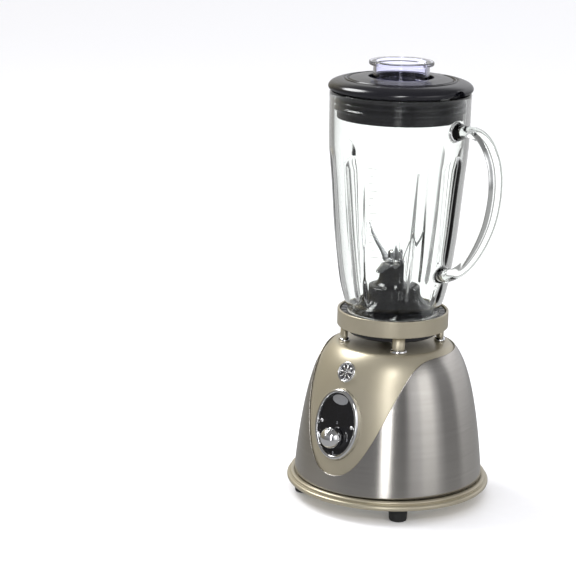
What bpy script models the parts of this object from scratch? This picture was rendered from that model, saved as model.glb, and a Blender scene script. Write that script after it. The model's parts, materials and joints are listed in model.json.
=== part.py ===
"""Countertop blender: a domed motor base, a collar on four posts, a fluted glass jar, blades, lid and cap.

Metres, +Z up, standing on the floor plane.  The front, with the control panel, faces -Y, and the jar's
handle is on +X.  Every round piece is built about one vertical axis, which is set back along X so that
the whole blender, handle included, is centred on the origin.
"""

import math

import bmesh
import bpy
import numpy as np
from mathutils import Vector

# ---------------------------------------------------------------------------------------------------
# Driving sizes
# ---------------------------------------------------------------------------------------------------

GAP = 0.0003                  # clearance between pieces that touch
ROUND = 32                    # sides of the large turned pieces
SMALL = 16                    # sides of the small turned pieces

FOOT_HEIGHT = 0.0130
FOOT_RADIUS = 0.00875
FOOT_SCREW_RADIUS = 0.0015

RING_HEIGHT = 0.0080
RING_FLANGE = 0.0030
RING_OVERHANG = 0.0068        # the ring's lower lip beyond the foot of the dome

VENT_LENGTH = 0.0700          # four slots side by side in the bottom plate
VENT_WIDTH = 0.0085
VENT_PITCH = 0.0190

DOME_RADIUS = 0.0867          # outside of the steel sheet at the foot
DOME_HEIGHT = 0.1240
DOME_WALL = 0.0022
DOME_CROWN = 1.058            # the dome's curve would close at this share of its height
DOME_FULLNESS = 1.144
DOME_SQUARENESS = 0.168

SHEET = 0.0008
SHEET_CLEARANCE = 0.0006
SHEET_LIFT = 0.0010           # shadow gap between the ring and the sheet
TONGUE_LIFT = 0.0150          # lowest point of the sheet's upper edge, above its foot
SEAM_DROP = 0.0035            # highest point of that edge, below the dome's top
SEAM_SPREAD = math.radians(38.4)
SEAM_EASE = 2.5

BADGE_RADIUS = 0.0095
BADGE_DROP = 0.0166           # badge centre below the dome's top
BADGE_PROUD = 0.0016
BADGE_PEG_RADIUS = 0.0025

PANEL_TILT = math.radians(10.5)
PANEL_HALF_WIDTH = 0.0200
PANEL_RECESS = 0.0025
PANEL_THICKNESS = 0.0020
BEZEL_WIDTH = 0.0040
BEZEL_PROUD = 0.0022          # bezel face in front of the cover, on the centre line
BEZEL_MARGIN = 0.0144         # from the bezel to the badge centre above and the tongue's edge below
KNOB_RADIUS = 0.0100
KNOB_RISE = 0.0053            # knob ball's centre in front of the panel
KNOB_MARGIN = 0.0162          # knob axis above the panel's lower edge
WINDOW_SIZE = (0.0088, 0.0046)
STUD_RADIUS = 0.00175
SWITCH_SHAFT_RADIUS = 0.0030
SWITCH_SIZE = (0.030, 0.026, 0.022)

COLLAR_RADIUS = 0.0509
COLLAR_HEIGHT = 0.0153
COLLAR_WALL = 0.0024
LEDGE = 0.0078
POST_HEIGHT = 0.0150          # from the dome's top to the collar
POST_INSET = 0.0066           # post centres inside the collar's outer edge
POST_HALF = (0.0035, 0.00565)     # radial and tangential half sizes
WASHER_HALF = (0.0052, 0.0077)
WASHER_HEIGHT = 0.0030
SPIGOT_RADIUS = 0.0022
SEAT_WALL = 0.0018
SEAT_DEPTH = 0.0093

MOTOR_DROP = 0.0118           # upper bracket's plate below the dome's underside
STACK_HEIGHT = 0.0300
STATOR_SIZE = (0.070, 0.060)
ARMATURE_RADIUS = 0.0190
AIR_GAP = 0.0008
POLE_HALF_WIDTH = 0.0120
COIL_WIDTH = 0.0085
SHAFT_RADIUS = 0.0040
COMMUTATOR_RADIUS = 0.0110
BEARING_RADIUS = 0.0080
BEARING_HEIGHT = 0.0060
FAN_RADIUS = 0.0320
FAN_BLADES = 7
DRIVE_LOBES = 6
DRIVE_RADIUS = 0.0055
DRIVE_LOBE_DEPTH = 0.0011
DRIVE_PLAY = 0.0006

JAR_HEIGHT = 0.2021
JAR_MOUTH_RADIUS = 0.0634
JAR_WALL = 0.0040
FLUTES = 8
FLUTE_DEPTH = 0.0030
FLUTE_HALF_ANGLE = (math.radians(7.5), math.radians(12.0))    # at the foot and at the rounded top
FLUTE_TOP = 0.745             # share of the jar's height where the flutes end
HANDLE_REACH = 0.1120         # from the axis to the outside of the handle
HANDLE_HALF = (0.0052, 0.0080)    # half thickness and half width

BLADE_SHAFT_RADIUS = 0.0032
BLADE_REACH = 0.0300
BLADE_LIFT = 0.0330
BLADE_THICKNESS = 0.0012

LID_BRIM_OVERHANG = 0.0016
LID_CLEARANCE = 0.0006        # skirt ridges to the glass
LID_SKIRT = 0.0236            # skirt below the jar's rim
LID_RISE = 0.0126             # lid's top above the brim's underside
LID_WALL = 0.0025
WELL_RADIUS = 0.0288
WELL_DEPTH = 0.0094
WELL_LEDGE = 0.0058
CAP_FLANGE_RADIUS = 0.0291
CAP_FLANGE_HEIGHT = 0.0035
CAP_LIFT = 0.0104             # flange underside above the lid
CAP_WALL = 0.0025

CORD_HOLE_RADIUS = 0.0060
CORD_RADIUS = 0.0033
CORD_HEIGHT = 0.0110          # cord inlet above the foot of the dome

# ---------------------------------------------------------------------------------------------------
# Levels and sizes that follow from them
# ---------------------------------------------------------------------------------------------------

RING_RADIUS = DOME_RADIUS + RING_OVERHANG
RING_TOP = FOOT_HEIGHT + RING_HEIGHT
RING_BORE = DOME_RADIUS - 0.0207
RING_STEP = DOME_RADIUS - 0.0067
FOOT_CIRCLE = RING_STEP - 0.0020

DOME_BOTTOM = RING_TOP + SHEET_LIFT
DOME_TOP = DOME_BOTTOM + DOME_HEIGHT
DOME_TOP_RADIUS = COLLAR_RADIUS + 0.0035
DOME_UNDERSIDE = DOME_TOP - DOME_WALL
COVER_INSET = SHEET + SHEET_CLEARANCE
TONGUE_FOOT = DOME_BOTTOM + TONGUE_LIFT
SEAM_TOP = DOME_TOP - SEAM_DROP

BADGE_Z = DOME_TOP - BADGE_DROP
PANEL_TOP = BADGE_Z - BEZEL_MARGIN
PANEL_BOTTOM = TONGUE_FOOT + BEZEL_MARGIN
PANEL_Z = 0.5 * (PANEL_TOP + PANEL_BOTTOM)
BEZEL_HALF = (PANEL_HALF_WIDTH + BEZEL_WIDTH, 0.5 * (PANEL_TOP - PANEL_BOTTOM) / math.cos(PANEL_TILT))
PANEL_HALF = (PANEL_HALF_WIDTH, BEZEL_HALF[1] - BEZEL_WIDTH)
KNOB_Y = KNOB_MARGIN - PANEL_HALF[1]
PANEL_BACK = -(PANEL_RECESS + PANEL_THICKNESS)

POST_CIRCLE = COLLAR_RADIUS - POST_INSET
COLLAR_BOTTOM = DOME_TOP + POST_HEIGHT
COLLAR_TOP = COLLAR_BOTTOM + COLLAR_HEIGHT
COLLAR_BORE = COLLAR_RADIUS - COLLAR_WALL
LEDGE_TOP = COLLAR_BOTTOM + 0.0025
SEAT_FLANGE_TOP = LEDGE_TOP + GAP + 0.0022
SEAT_RADIUS = COLLAR_BORE - LEDGE - GAP
SEAT_BOTTOM = LEDGE_TOP - SEAT_DEPTH
SEAT_HOLE = 0.0140

JAR_COLLAR_BOTTOM = SEAT_BOTTOM + 0.0027
JAR_COLLAR_TOP = COLLAR_TOP - 0.0010
JAR_COLLAR_BORE = COLLAR_BORE - 0.0065
JAR_COLLAR_FLOOR = SEAT_FLANGE_TOP + GAP + 0.0020
JAR_FOOT_RADIUS = JAR_COLLAR_BORE - 0.0006
HOUSING_FLANGE_TOP = JAR_COLLAR_FLOOR + GAP + 0.0027
GASKET_TOP = HOUSING_FLANGE_TOP + GAP + 0.0025
JAR_BOTTOM = GASKET_TOP + GAP
JAR_TOP = JAR_BOTTOM + JAR_HEIGHT
HOUSING_SHOULDER = JAR_BOTTOM + 0.0247
HOUSING_TOP = JAR_BOTTOM + 0.0437

BRACKET_Z = DOME_UNDERSIDE - MOTOR_DROP
STACK_TOP = BRACKET_Z - 0.0160
STACK_BOTTOM = STACK_TOP - STACK_HEIGHT
LOWER_BRACKET_Z = STACK_BOTTOM - 0.0240
SHAFT_BOTTOM = LOWER_BRACKET_Z - 0.0200
COUPLING_BOTTOM = DOME_TOP + 0.0040
COUPLING_STEP = COUPLING_BOTTOM + 0.0050
COUPLING_TOP = COUPLING_STEP + 0.0085
SHAFT_TOP = COUPLING_STEP + 0.0040

BRIM_BOTTOM = JAR_TOP + GAP
LID_TOP = BRIM_BOTTOM + LID_RISE
LID_SKIRT_BOTTOM = JAR_TOP - LID_SKIRT
LID_RIDGE_RADIUS = JAR_MOUTH_RADIUS - JAR_WALL - LID_CLEARANCE
LID_BRIM_RADIUS = JAR_MOUTH_RADIUS + LID_BRIM_OVERHANG
WELL_FLOOR = LID_TOP - WELL_DEPTH
CAP_BOTTOM = WELL_FLOOR - 0.0120

AXIS_X = -0.5 * (HANDLE_REACH - RING_RADIUS)

FINISHES = {                  # colour, roughness, metallic
    "champagne_paint": ((0.434, 0.386, 0.258), 0.32, 0.75),
    "brushed_steel": ((0.560, 0.548, 0.530), 0.30, 1.00),
    "chrome": ((0.780, 0.780, 0.790), 0.08, 1.00),
    "black_plastic": ((0.011, 0.011, 0.013), 0.22, 0.00),
    "black_rubber": ((0.016, 0.016, 0.016), 0.70, 0.00),
    "grey_enamel": ((0.330, 0.340, 0.340), 0.35, 0.20),
    "zinc_steel": ((0.420, 0.420, 0.430), 0.38, 1.00),
    "lamination_steel": ((0.180, 0.180, 0.190), 0.50, 1.00),
    "copper_wire": ((0.480, 0.170, 0.060), 0.35, 0.90),
    "carbon": ((0.030, 0.030, 0.032), 0.60, 0.10),
    "bronze": ((0.400, 0.230, 0.090), 0.40, 1.00),
    "clear_glass": ((0.800, 0.850, 0.840), 0.03, 0.00),
    "clear_plastic": ((0.700, 0.710, 0.880), 0.08, 0.00),
    "silicone": ((0.600, 0.590, 0.560), 0.55, 0.00),
}

# ---------------------------------------------------------------------------------------------------
# Modelling helpers
# ---------------------------------------------------------------------------------------------------


def clear_scene():
    for obj in list(bpy.data.objects):
        bpy.data.objects.remove(obj, do_unlink=True)


def new_collection(name):
    collection = bpy.data.collections.new(name)
    bpy.context.scene.collection.children.link(collection)
    return collection


clear_scene()
PARTS = new_collection("countertop_blender")
CUTTERS = new_collection("countertop_blender_cutters")


def empty(name, location, parent=None, tilt=0.0):
    """An empty that carries the pieces of one axis or one plane."""
    obj = bpy.data.objects.new(name, None)
    obj.location = location
    obj.rotation_euler = (tilt, 0.0, 0.0)
    obj.empty_display_size = 0.02
    obj.parent = parent
    PARTS.objects.link(obj)
    return obj


def make_material(name, finish):
    colour, roughness, metallic = FINISHES[finish]
    material = bpy.data.materials.new(name)
    material.use_nodes = True
    shader = material.node_tree.nodes["Principled BSDF"]
    shader.inputs["Base Color"].default_value = (*colour, 1.0)
    shader.inputs["Roughness"].default_value = roughness
    shader.inputs["Metallic"].default_value = metallic
    return material


def place(name, mesh, finish, parent, location=(0.0, 0.0, 0.0), turn=(0.0, 0.0, 0.0)):
    """Put a mesh in the scene: a part when it has a finish, and otherwise a cutter."""
    obj = bpy.data.objects.new(name, mesh)
    obj.parent = parent
    obj.location = location
    obj.rotation_euler = turn
    if finish is None:
        CUTTERS.objects.link(obj)
        obj.hide_render = True
        obj.display_type = "WIRE"
    else:
        PARTS.objects.link(obj)
        mesh.materials.append(make_material(name + "_" + finish, finish))
    return obj


def boolean(obj, other, operation="DIFFERENCE"):
    modifier = obj.modifiers.new(other.name, "BOOLEAN")
    modifier.object = other
    modifier.operation = operation
    modifier.solver = "EXACT"


def turned(name, outline, finish, parent, steps=SMALL, **where):
    """Spin (radius, height) points about Z.  The outline runs down its outer side, top to bottom.

    An outline that starts and ends on the axis makes a solid, and any other one is closed into a ring.
    """
    solid = outline[0][0] == 0.0 and outline[-1][0] == 0.0
    edges = [(i, i + 1) for i in range(len(outline) - 1)]
    if not solid:
        edges.append((len(outline) - 1, 0))
    mesh = bpy.data.meshes.new(name)
    mesh.from_pydata([(radius, 0.0, height) for radius, height in outline], edges, [])
    obj = place(name, mesh, finish, parent, **where)
    screw = obj.modifiers.new("spin", "SCREW")
    screw.steps = steps
    screw.render_steps = steps
    screw.use_merge_vertices = True
    screw.merge_threshold = 0.00001
    screw.use_smooth_shade = True
    return obj


def pipe(outer, inner, top, bottom):
    """Outline of a plain ring, and of a plain disc when the inner radius is zero."""
    if inner == 0.0:
        return [(0.0, top), (outer, top), (outer, bottom), (0.0, bottom)]
    return [(outer, top), (outer, bottom), (inner, bottom), (inner, top)]


def box(name, size, finish, parent, **where):
    mesh = bpy.data.meshes.new(name)
    shape = bmesh.new()
    bmesh.ops.create_cube(shape, size=1.0)
    bmesh.ops.scale(shape, vec=Vector(size), verts=shape.verts)
    shape.to_mesh(mesh)
    shape.free()
    return place(name, mesh, finish, parent, **where)


def oval(half_x, half_y, sides, centre=(0.0, 0.0)):
    angles = np.linspace(0.0, 2.0 * math.pi, sides, endpoint=False)
    return [(centre[0] + half_x * math.cos(a), centre[1] + half_y * math.sin(a)) for a in angles]


def rounded_box(width, height, radius, corner_steps=3):
    """Outline of a rectangle with rounded corners, centred on zero."""
    points = []
    for quarter in range(4):
        start = 0.5 * math.pi * quarter
        side_x = 1.0 if quarter in (0, 3) else -1.0
        side_y = 1.0 if quarter in (0, 1) else -1.0
        for step in range(corner_steps + 1):
            angle = start + 0.5 * math.pi * step / corner_steps
            x = side_x * (0.5 * width - radius) + radius * math.cos(angle)
            y = side_y * (0.5 * height - radius) + radius * math.sin(angle)
            points.append((x, y))
    return points


def lobed(radius, depth, lobes, sides_per_lobe=8):
    """Outline of a drive star: a circle whose radius waves once for each lobe."""
    angles = np.linspace(0.0, 2.0 * math.pi, lobes * sides_per_lobe, endpoint=False)
    radii = radius + depth * np.cos(lobes * angles)
    return [(r * math.cos(a), r * math.sin(a)) for r, a in zip(radii, angles)]


def mesh_from_curve(name, curve):
    """Turn a curve into a closed mesh: evaluate it and weld its caps on."""
    guide = bpy.data.objects.new(name, curve)
    bpy.context.scene.collection.objects.link(guide)
    bpy.context.view_layer.update()
    evaluated = guide.evaluated_get(bpy.context.evaluated_depsgraph_get())
    mesh = bpy.data.meshes.new_from_object(evaluated)
    bpy.data.objects.remove(guide, do_unlink=True)
    mesh.name = name
    shape = bmesh.new()
    shape.from_mesh(mesh)
    bmesh.ops.remove_doubles(shape, verts=shape.verts, dist=0.00001)
    bmesh.ops.recalc_face_normals(shape, faces=shape.faces)
    shape.to_mesh(mesh)
    shape.free()
    mesh.materials.clear()
    return mesh


def plate(name, outlines, thickness, finish, parent, **where):
    """A flat piece: the first outline filled, the others as holes, centred on its own plane."""
    curve = bpy.data.curves.new(name, "CURVE")
    curve.dimensions = "2D"
    curve.fill_mode = "BOTH"
    curve.extrude = 0.5 * thickness
    for outline in outlines:
        spline = curve.splines.new("POLY")
        spline.points.add(len(outline) - 1)
        for point, (x, y) in zip(spline.points, outline):
            point.co = (x, y, 0.0, 1.0)
        spline.use_cyclic_u = True
    return place(name, mesh_from_curve(name, curve), finish, parent, **where)


def smooth_through(points, steps):
    """Points of a Catmull-Rom curve through the given ones, with steps between neighbours."""
    knots = np.array(points, dtype=float)
    knots = np.vstack([2.0 * knots[0] - knots[1], knots, 2.0 * knots[-1] - knots[-2]])
    path = []
    for before, start, end, after in zip(knots, knots[1:], knots[2:], knots[3:]):
        for step in range(steps):
            t = step / steps
            path.append(0.5 * (2.0 * start + (end - before) * t
                               + (2.0 * before - 5.0 * start + 4.0 * end - after) * t ** 2
                               + (3.0 * start - before - 3.0 * end + after) * t ** 3))
    path.append(knots[-2])
    return np.array(path)


def around(count, start_degrees=0.0):
    """Angles about the axis, evenly spaced."""
    return [math.radians(start_degrees) + 2.0 * math.pi * k / count for k in range(count)]


def at(radius, angle, height=0.0):
    return (radius * math.cos(angle), radius * math.sin(angle), height)


# ---------------------------------------------------------------------------------------------------
# Frames: empties on the joint axes and on the panel's plane
# ---------------------------------------------------------------------------------------------------


def dome_share(t):
    return (1.0 - (t / DOME_CROWN) ** DOME_FULLNESS) ** DOME_SQUARENESS


def dome_radius(height):
    """Radius of the dome's outer skin at a height above the floor."""
    t = min(max((height - DOME_BOTTOM) / DOME_HEIGHT, 0.0), 1.0)
    flare = (dome_share(t) - dome_share(1.0)) / (1.0 - dome_share(1.0))
    return DOME_TOP_RADIUS + (DOME_RADIUS - DOME_TOP_RADIUS) * flare


def dome_point(height, inset):
    """A point (radius, height) of the dome's side, set in along the normal of its skin."""
    step = 0.0002
    slope = (dome_radius(height + step) - dome_radius(height - step)) / (2.0 * step)
    length = math.hypot(1.0, slope)
    return (dome_radius(height) - inset / length, height + inset * slope / length)


def dome_side(inset, top, bottom, rows):
    """The dome's side from a top height down to a bottom one, with closer rows at the shoulder."""
    upper = math.sqrt(max(1.0 - (top - DOME_BOTTOM) / DOME_HEIGHT, 0.0))
    lower = math.sqrt(max(1.0 - (bottom - DOME_BOTTOM) / DOME_HEIGHT, 0.0))
    return [dome_point(DOME_BOTTOM + DOME_HEIGHT * (1.0 - s * s), inset)
            for s in np.linspace(upper, lower, rows)]


COVER_FRONT = dome_radius(PANEL_Z) - COVER_INSET
BEZEL_SAGITTA = COVER_FRONT - math.sqrt(COVER_FRONT ** 2 - BEZEL_HALF[0] ** 2)
BEZEL_DEPTH = BEZEL_PROUD + BEZEL_SAGITTA + 0.0030
BADGE_SLOPE = math.atan2(dome_radius(BADGE_Z - 0.002) - dome_radius(BADGE_Z + 0.002), 0.004)
BADGE_SEAT = dome_point(BADGE_Z, COVER_INSET)

BODY = empty("body_axis", (AXIS_X, 0.0, 0.0))
ROTOR = empty("rotor_axis", (0.0, 0.0, 0.0), BODY)
JAR = empty("jar_axis", (0.0, 0.0, 0.0), BODY)
BLADES = empty("blade_axis", (0.0, 0.0, 0.0), JAR)
LID = empty("lid_axis", (0.0, 0.0, 0.0), JAR)
PANEL = empty("panel_plane", (0.0, -(COVER_FRONT + BEZEL_PROUD), PANEL_Z), BODY,
              tilt=0.5 * math.pi - PANEL_TILT)
KNOB = empty("knob_axis", (0.0, KNOB_Y, -PANEL_RECESS), PANEL)
BADGE = empty("badge_plane", (0.0, -BADGE_SEAT[0], BADGE_SEAT[1]), BODY,
              tilt=0.5 * math.pi - BADGE_SLOPE)

# ---------------------------------------------------------------------------------------------------
# Base: feet, ring, plate, cover and steel sheet
# ---------------------------------------------------------------------------------------------------


def build_feet():
    head = 2.4 * FOOT_SCREW_RADIUS
    recess = 0.0040
    foot = [(FOOT_RADIUS, FOOT_HEIGHT - GAP), (FOOT_RADIUS, 0.0110), (0.90 * FOOT_RADIUS, 0.0008),
            (0.84 * FOOT_RADIUS, 0.0), (head + 2.0 * GAP, 0.0), (head + 2.0 * GAP, recess),
            (FOOT_SCREW_RADIUS + GAP, recess), (FOOT_SCREW_RADIUS + GAP, FOOT_HEIGHT - GAP)]
    screw = [(0.0, FOOT_HEIGHT + 0.0040), (FOOT_SCREW_RADIUS, FOOT_HEIGHT + 0.0040),
             (FOOT_SCREW_RADIUS, recess - GAP), (head, recess - GAP),
             (head, recess - 0.0024), (0.0, recess - 0.0024)]
    for number, angle in enumerate(around(4, 45.0), start=1):
        spot = at(FOOT_CIRCLE, angle)
        turned(f"rubber_foot_{number}", foot, "black_rubber", BODY, steps=12, location=spot)
        turned(f"foot_screw_{number}", screw, "zinc_steel", BODY, steps=8, location=spot)


def build_base_ring():
    lip = RING_RADIUS
    outline = [(lip - 0.0049, RING_TOP), (lip - 0.0029, RING_TOP - 0.0003),
               (lip - 0.0023, RING_TOP - 0.0014), (lip - 0.0031, RING_TOP - 0.0026),
               (lip - 0.0031, RING_TOP - 0.0032), (lip - 0.0007, RING_TOP - 0.0038),
               (lip, RING_TOP - 0.0048), (lip, FOOT_HEIGHT + 0.0012), (lip - 0.0006, FOOT_HEIGHT),
               (RING_BORE, FOOT_HEIGHT), (RING_BORE, FOOT_HEIGHT + RING_FLANGE),
               (RING_STEP, FOOT_HEIGHT + RING_FLANGE), (RING_STEP, RING_TOP)]
    ring = turned("base_ring", outline, "champagne_paint", BODY, steps=ROUND)
    hole = pipe(FOOT_SCREW_RADIUS + GAP, 0.0, FOOT_HEIGHT + 0.010, FOOT_HEIGHT - 0.005)
    for number, angle in enumerate(around(4, 45.0), start=1):
        cutter = turned(f"foot_hole_{number}", hole, None, BODY, steps=8,
                        location=at(FOOT_CIRCLE, angle))
        boolean(ring, cutter)


def build_bottom_plate():
    outlines = [oval(RING_BORE - GAP, RING_BORE - GAP, ROUND)]
    for row in (-1.5, -0.5, 0.5, 1.5):
        slot = rounded_box(VENT_LENGTH, VENT_WIDTH, 0.0006, 1)
        outlines.append([(x, y + row * VENT_PITCH) for x, y in slot])
    thickness = RING_FLANGE - 0.0005
    plate("bottom_plate", outlines, thickness, "zinc_steel", BODY,
          location=(0.0, 0.0, FOOT_HEIGHT + 0.5 * thickness))


def build_dome_cover():
    hub = BEARING_RADIUS
    shoulder = DOME_TOP_RADIUS - 0.0030
    outer = dome_side(COVER_INSET, DOME_TOP - 0.0010, DOME_BOTTOM, 11)
    inner = dome_side(COVER_INSET + DOME_WALL, DOME_TOP - 0.0020, DOME_BOTTOM, 8)
    foot = RING_TOP + GAP
    outline = [(hub, DOME_TOP), (shoulder, DOME_TOP), *outer, (outer[-1][0], foot),
               (inner[-1][0], foot), *reversed(inner), (shoulder - 0.0015, DOME_UNDERSIDE),
               (hub, DOME_UNDERSIDE)]
    cover = turned("dome_cover", outline, "champagne_paint", BODY, steps=ROUND)
    bezel_hole = plate("bezel_hole", [oval(BEZEL_HALF[0] + GAP, BEZEL_HALF[1] + GAP, ROUND)], 0.060,
                       None, PANEL)
    boolean(cover, bezel_hole)
    spigot_hole = pipe(SPIGOT_RADIUS + GAP, 0.0, DOME_TOP + 0.005, DOME_UNDERSIDE - 0.005)
    for number, angle in enumerate(around(4, 45.0), start=1):
        cutter = turned(f"spigot_hole_{number}", spigot_hole, None, BODY, steps=10,
                        location=at(POST_CIRCLE, angle))
        boolean(cover, cutter)
    peg_hole = turned("badge_hole", pipe(BADGE_PEG_RADIUS + GAP, 0.0, 0.010, -0.010), None, BADGE,
                      steps=10)
    boolean(cover, peg_hole)
    return cover


def seam_height(angle):
    """Height of the sheet's upper edge at an angle from the front."""
    ease = 1.0 - math.exp(-(abs(angle) / SEAM_SPREAD) ** SEAM_EASE)
    return TONGUE_FOOT + (SEAM_TOP - TONGUE_FOOT) * ease


def build_steel_wrap():
    """A ring of sheet whose upper edge dips at the front, thickened inwards."""
    half = 28
    rows = 8
    shares = [math.copysign(abs(k / half) ** 1.15, k) for k in range(-half, half)]
    shape = bmesh.new()
    columns = []
    for share in shares:
        angle = math.pi * share
        side = dome_side(0.0, seam_height(angle), DOME_BOTTOM, rows + 1)
        columns.append([shape.verts.new((r * math.sin(angle), -r * math.cos(angle), z)) for r, z in side])
    for column, following in zip(columns, columns[1:] + columns[:1]):
        for row in range(rows):
            shape.faces.new((column[row], column[row + 1], following[row + 1], following[row]))
    mesh = bpy.data.meshes.new("steel_wrap")
    shape.to_mesh(mesh)
    shape.free()
    mesh.shade_smooth()
    wrap = place("steel_wrap", mesh, "brushed_steel", BODY)
    solidify = wrap.modifiers.new("sheet", "SOLIDIFY")
    solidify.thickness = SHEET
    solidify.offset = -1.0
    return wrap


def build_cord_grommet(cover, wrap):
    """A rubber bush through the cover and the sheet at the back, for a mains cord."""
    height = DOME_BOTTOM + CORD_HEIGHT
    flange = CORD_HOLE_RADIUS + 0.0025
    skin = dome_radius(height - flange)
    inside = skin - COVER_INSET - DOME_WALL
    outline = [(flange - 0.0010, skin + 0.0030), (flange, skin + 0.0022), (flange, skin + GAP),
               (CORD_HOLE_RADIUS, skin + GAP), (CORD_HOLE_RADIUS, inside - 0.0020),
               (CORD_RADIUS, inside - 0.0020), (CORD_RADIUS, skin + 0.0030)]
    facing_back = (-0.5 * math.pi, 0.0, 0.0)
    turned("cord_grommet", outline, "black_rubber", BODY, location=(0.0, 0.0, height), turn=facing_back)
    hole = pipe(CORD_HOLE_RADIUS + GAP, 0.0, skin + 0.010, inside - 0.010)
    cutter = turned("cord_hole", hole, None, BODY, location=(0.0, 0.0, height), turn=facing_back)
    boolean(cover, cutter)
    boolean(wrap, cutter)


def build_badge():
    """A round badge that sits on the dome, its back cut to the dome's curve."""
    face = BADGE_PROUD
    outline = [(0.0, face), (0.80 * BADGE_RADIUS, face), (0.92 * BADGE_RADIUS, face + 0.0004),
               (BADGE_RADIUS, face), (BADGE_RADIUS, -0.0050), (0.0, -0.0050)]
    badge = turned("badge", outline, "chrome", BADGE, steps=24)
    skin = dome_side(COVER_INSET - GAP, DOME_TOP - 0.0010, DOME_BOTTOM, 22)
    outline = [(0.0, DOME_TOP + GAP), (DOME_TOP_RADIUS - 0.0030, DOME_TOP + GAP), *skin,
               (0.0, DOME_BOTTOM)]
    boolean(badge, turned("badge_seat", outline, None, BODY, steps=2 * ROUND))
    peg = turned("badge_peg", pipe(BADGE_PEG_RADIUS, 0.0, 0.5 * face, -0.0060), None, BADGE, steps=10)
    boolean(badge, peg, "UNION")


# ---------------------------------------------------------------------------------------------------
# Controls: bezel, panel, window, knob, studs and switch
# ---------------------------------------------------------------------------------------------------


def build_bezel():
    """An oval frame with a ledge behind the panel."""
    outer = oval(*BEZEL_HALF, ROUND)
    opening = oval(*PANEL_HALF, ROUND)
    bezel = plate("panel_bezel", [outer, opening], BEZEL_DEPTH, "chrome", PANEL,
                  location=(0.0, 0.0, -0.5 * BEZEL_DEPTH))
    ledge_front = PANEL_BACK - GAP
    ledge_back = 0.0005 - BEZEL_DEPTH
    inset = 0.0012
    rim = oval(BEZEL_HALF[0] - inset, BEZEL_HALF[1] - inset, ROUND)
    hole = oval(PANEL_HALF[0] - inset, PANEL_HALF[1] - inset, ROUND)
    ledge = plate("bezel_ledge", [rim, hole], ledge_front - ledge_back, None, PANEL,
                  location=(0.0, 0.0, 0.5 * (ledge_front + ledge_back)))
    boolean(bezel, ledge, "UNION")


def stud_spots():
    """Three panel fasteners just inside the opening: left, right and lower left."""
    reach_x = PANEL_HALF[0] - STUD_RADIUS - 0.0014
    reach_y = PANEL_HALF[1] - STUD_RADIUS - 0.0014
    return [(reach_x * math.cos(a), reach_y * math.sin(a)) for a in (math.pi, 0.0, 1.235 * math.pi)]


def build_panel():
    shaft_hole = SWITCH_SHAFT_RADIUS + 2.0 * GAP
    outlines = [oval(PANEL_HALF[0] - GAP, PANEL_HALF[1] - GAP, ROUND),
                oval(shaft_hole, shaft_hole, SMALL, (0.0, KNOB_Y))]
    shank = 0.6 * STUD_RADIUS
    for spot in stud_spots():
        outlines.append(oval(shank + GAP, shank + GAP, 8, spot))
    plate("control_panel", outlines, PANEL_THICKNESS, "black_plastic", PANEL,
          location=(0.0, 0.0, 0.5 * (PANEL_BACK - PANEL_RECESS)))
    window_y = PANEL_HALF[1] - WINDOW_SIZE[1] - 0.0012
    thickness = 0.0006
    plate("indicator_window", [oval(*WINDOW_SIZE, 24)], thickness, "grey_enamel", PANEL,
          location=(0.0, window_y, GAP + 0.5 * thickness - PANEL_RECESS))
    head = [(0.0, 0.0013), (0.55 * STUD_RADIUS, 0.0011), (STUD_RADIUS, 0.0006), (STUD_RADIUS, GAP),
            (shank, GAP), (shank, -PANEL_THICKNESS - 0.0008), (0.0, -PANEL_THICKNESS - 0.0008)]
    for number, (x, y) in enumerate(stud_spots(), start=1):
        turned(f"panel_stud_{number}", head, "chrome", PANEL, steps=8, location=(x, y, -PANEL_RECESS))


def build_knob():
    """A ball cut flat at the panel, with a blind bore for the shaft and a pointer groove."""
    foot = 2.0 * GAP
    low = math.asin((foot - KNOB_RISE) / KNOB_RADIUS)
    ball = [(KNOB_RADIUS * math.cos(a), KNOB_RISE + KNOB_RADIUS * math.sin(a))
            for a in np.linspace(0.5 * math.pi, low, 10)]
    ball[0] = (0.0, ball[0][1])
    bore = SWITCH_SHAFT_RADIUS + GAP
    outline = [*ball, (bore, foot), (bore, KNOB_RISE + 0.0020), (0.0, KNOB_RISE + 0.0020)]
    knob = turned("speed_knob", outline, "chrome", KNOB, steps=24)
    groove = box("pointer_groove", (0.0012, 0.0070, 0.0060), None, KNOB,
                 location=(0.0, 0.0065, KNOB_RISE + KNOB_RADIUS - 0.0010))
    boolean(knob, groove)


def build_switch():
    width, height, depth = SWITCH_SIZE
    front = PANEL_RECESS - BEZEL_DEPTH - 2.0 * GAP
    body = box("switch_body", SWITCH_SIZE, "black_plastic", KNOB,
               location=(0.0, 0.0, front - 0.5 * depth))
    bore_end = front - 0.75 * depth
    bore = turned("switch_bore", pipe(SWITCH_SHAFT_RADIUS + GAP, 0.0, 0.010, bore_end), None, KNOB)
    boolean(body, bore)
    shaft = pipe(SWITCH_SHAFT_RADIUS, 0.0, KNOB_RISE + 0.0020 - GAP, bore_end + GAP)
    turned("switch_shaft", shaft, "zinc_steel", KNOB)


# ---------------------------------------------------------------------------------------------------
# Motor: brackets, stator, coils, rotor, brushes and drive
# ---------------------------------------------------------------------------------------------------


def build_stator():
    length, width = STATOR_SIZE
    bore = ARMATURE_RADIUS + AIR_GAP
    stator = plate("stator_core", [rounded_box(length, width, 0.006), oval(bore, bore, 24)],
                   STACK_HEIGHT, "lamination_steel", BODY,
                   location=(0.0, 0.0, STACK_BOTTOM + 0.5 * STACK_HEIGHT))
    slot = (2.0 * (bore + 0.0112), COIL_WIDTH + 0.0020, 2.0 * STACK_HEIGHT)
    for number, side in enumerate((1.0, -1.0), start=1):
        spot = (0.0, side * (POLE_HALF_WIDTH + 0.5 * slot[1]), STACK_BOTTOM + 0.5 * STACK_HEIGHT)
        boolean(stator, box(f"coil_slot_{number}", slot, None, BODY, location=spot))


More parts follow.
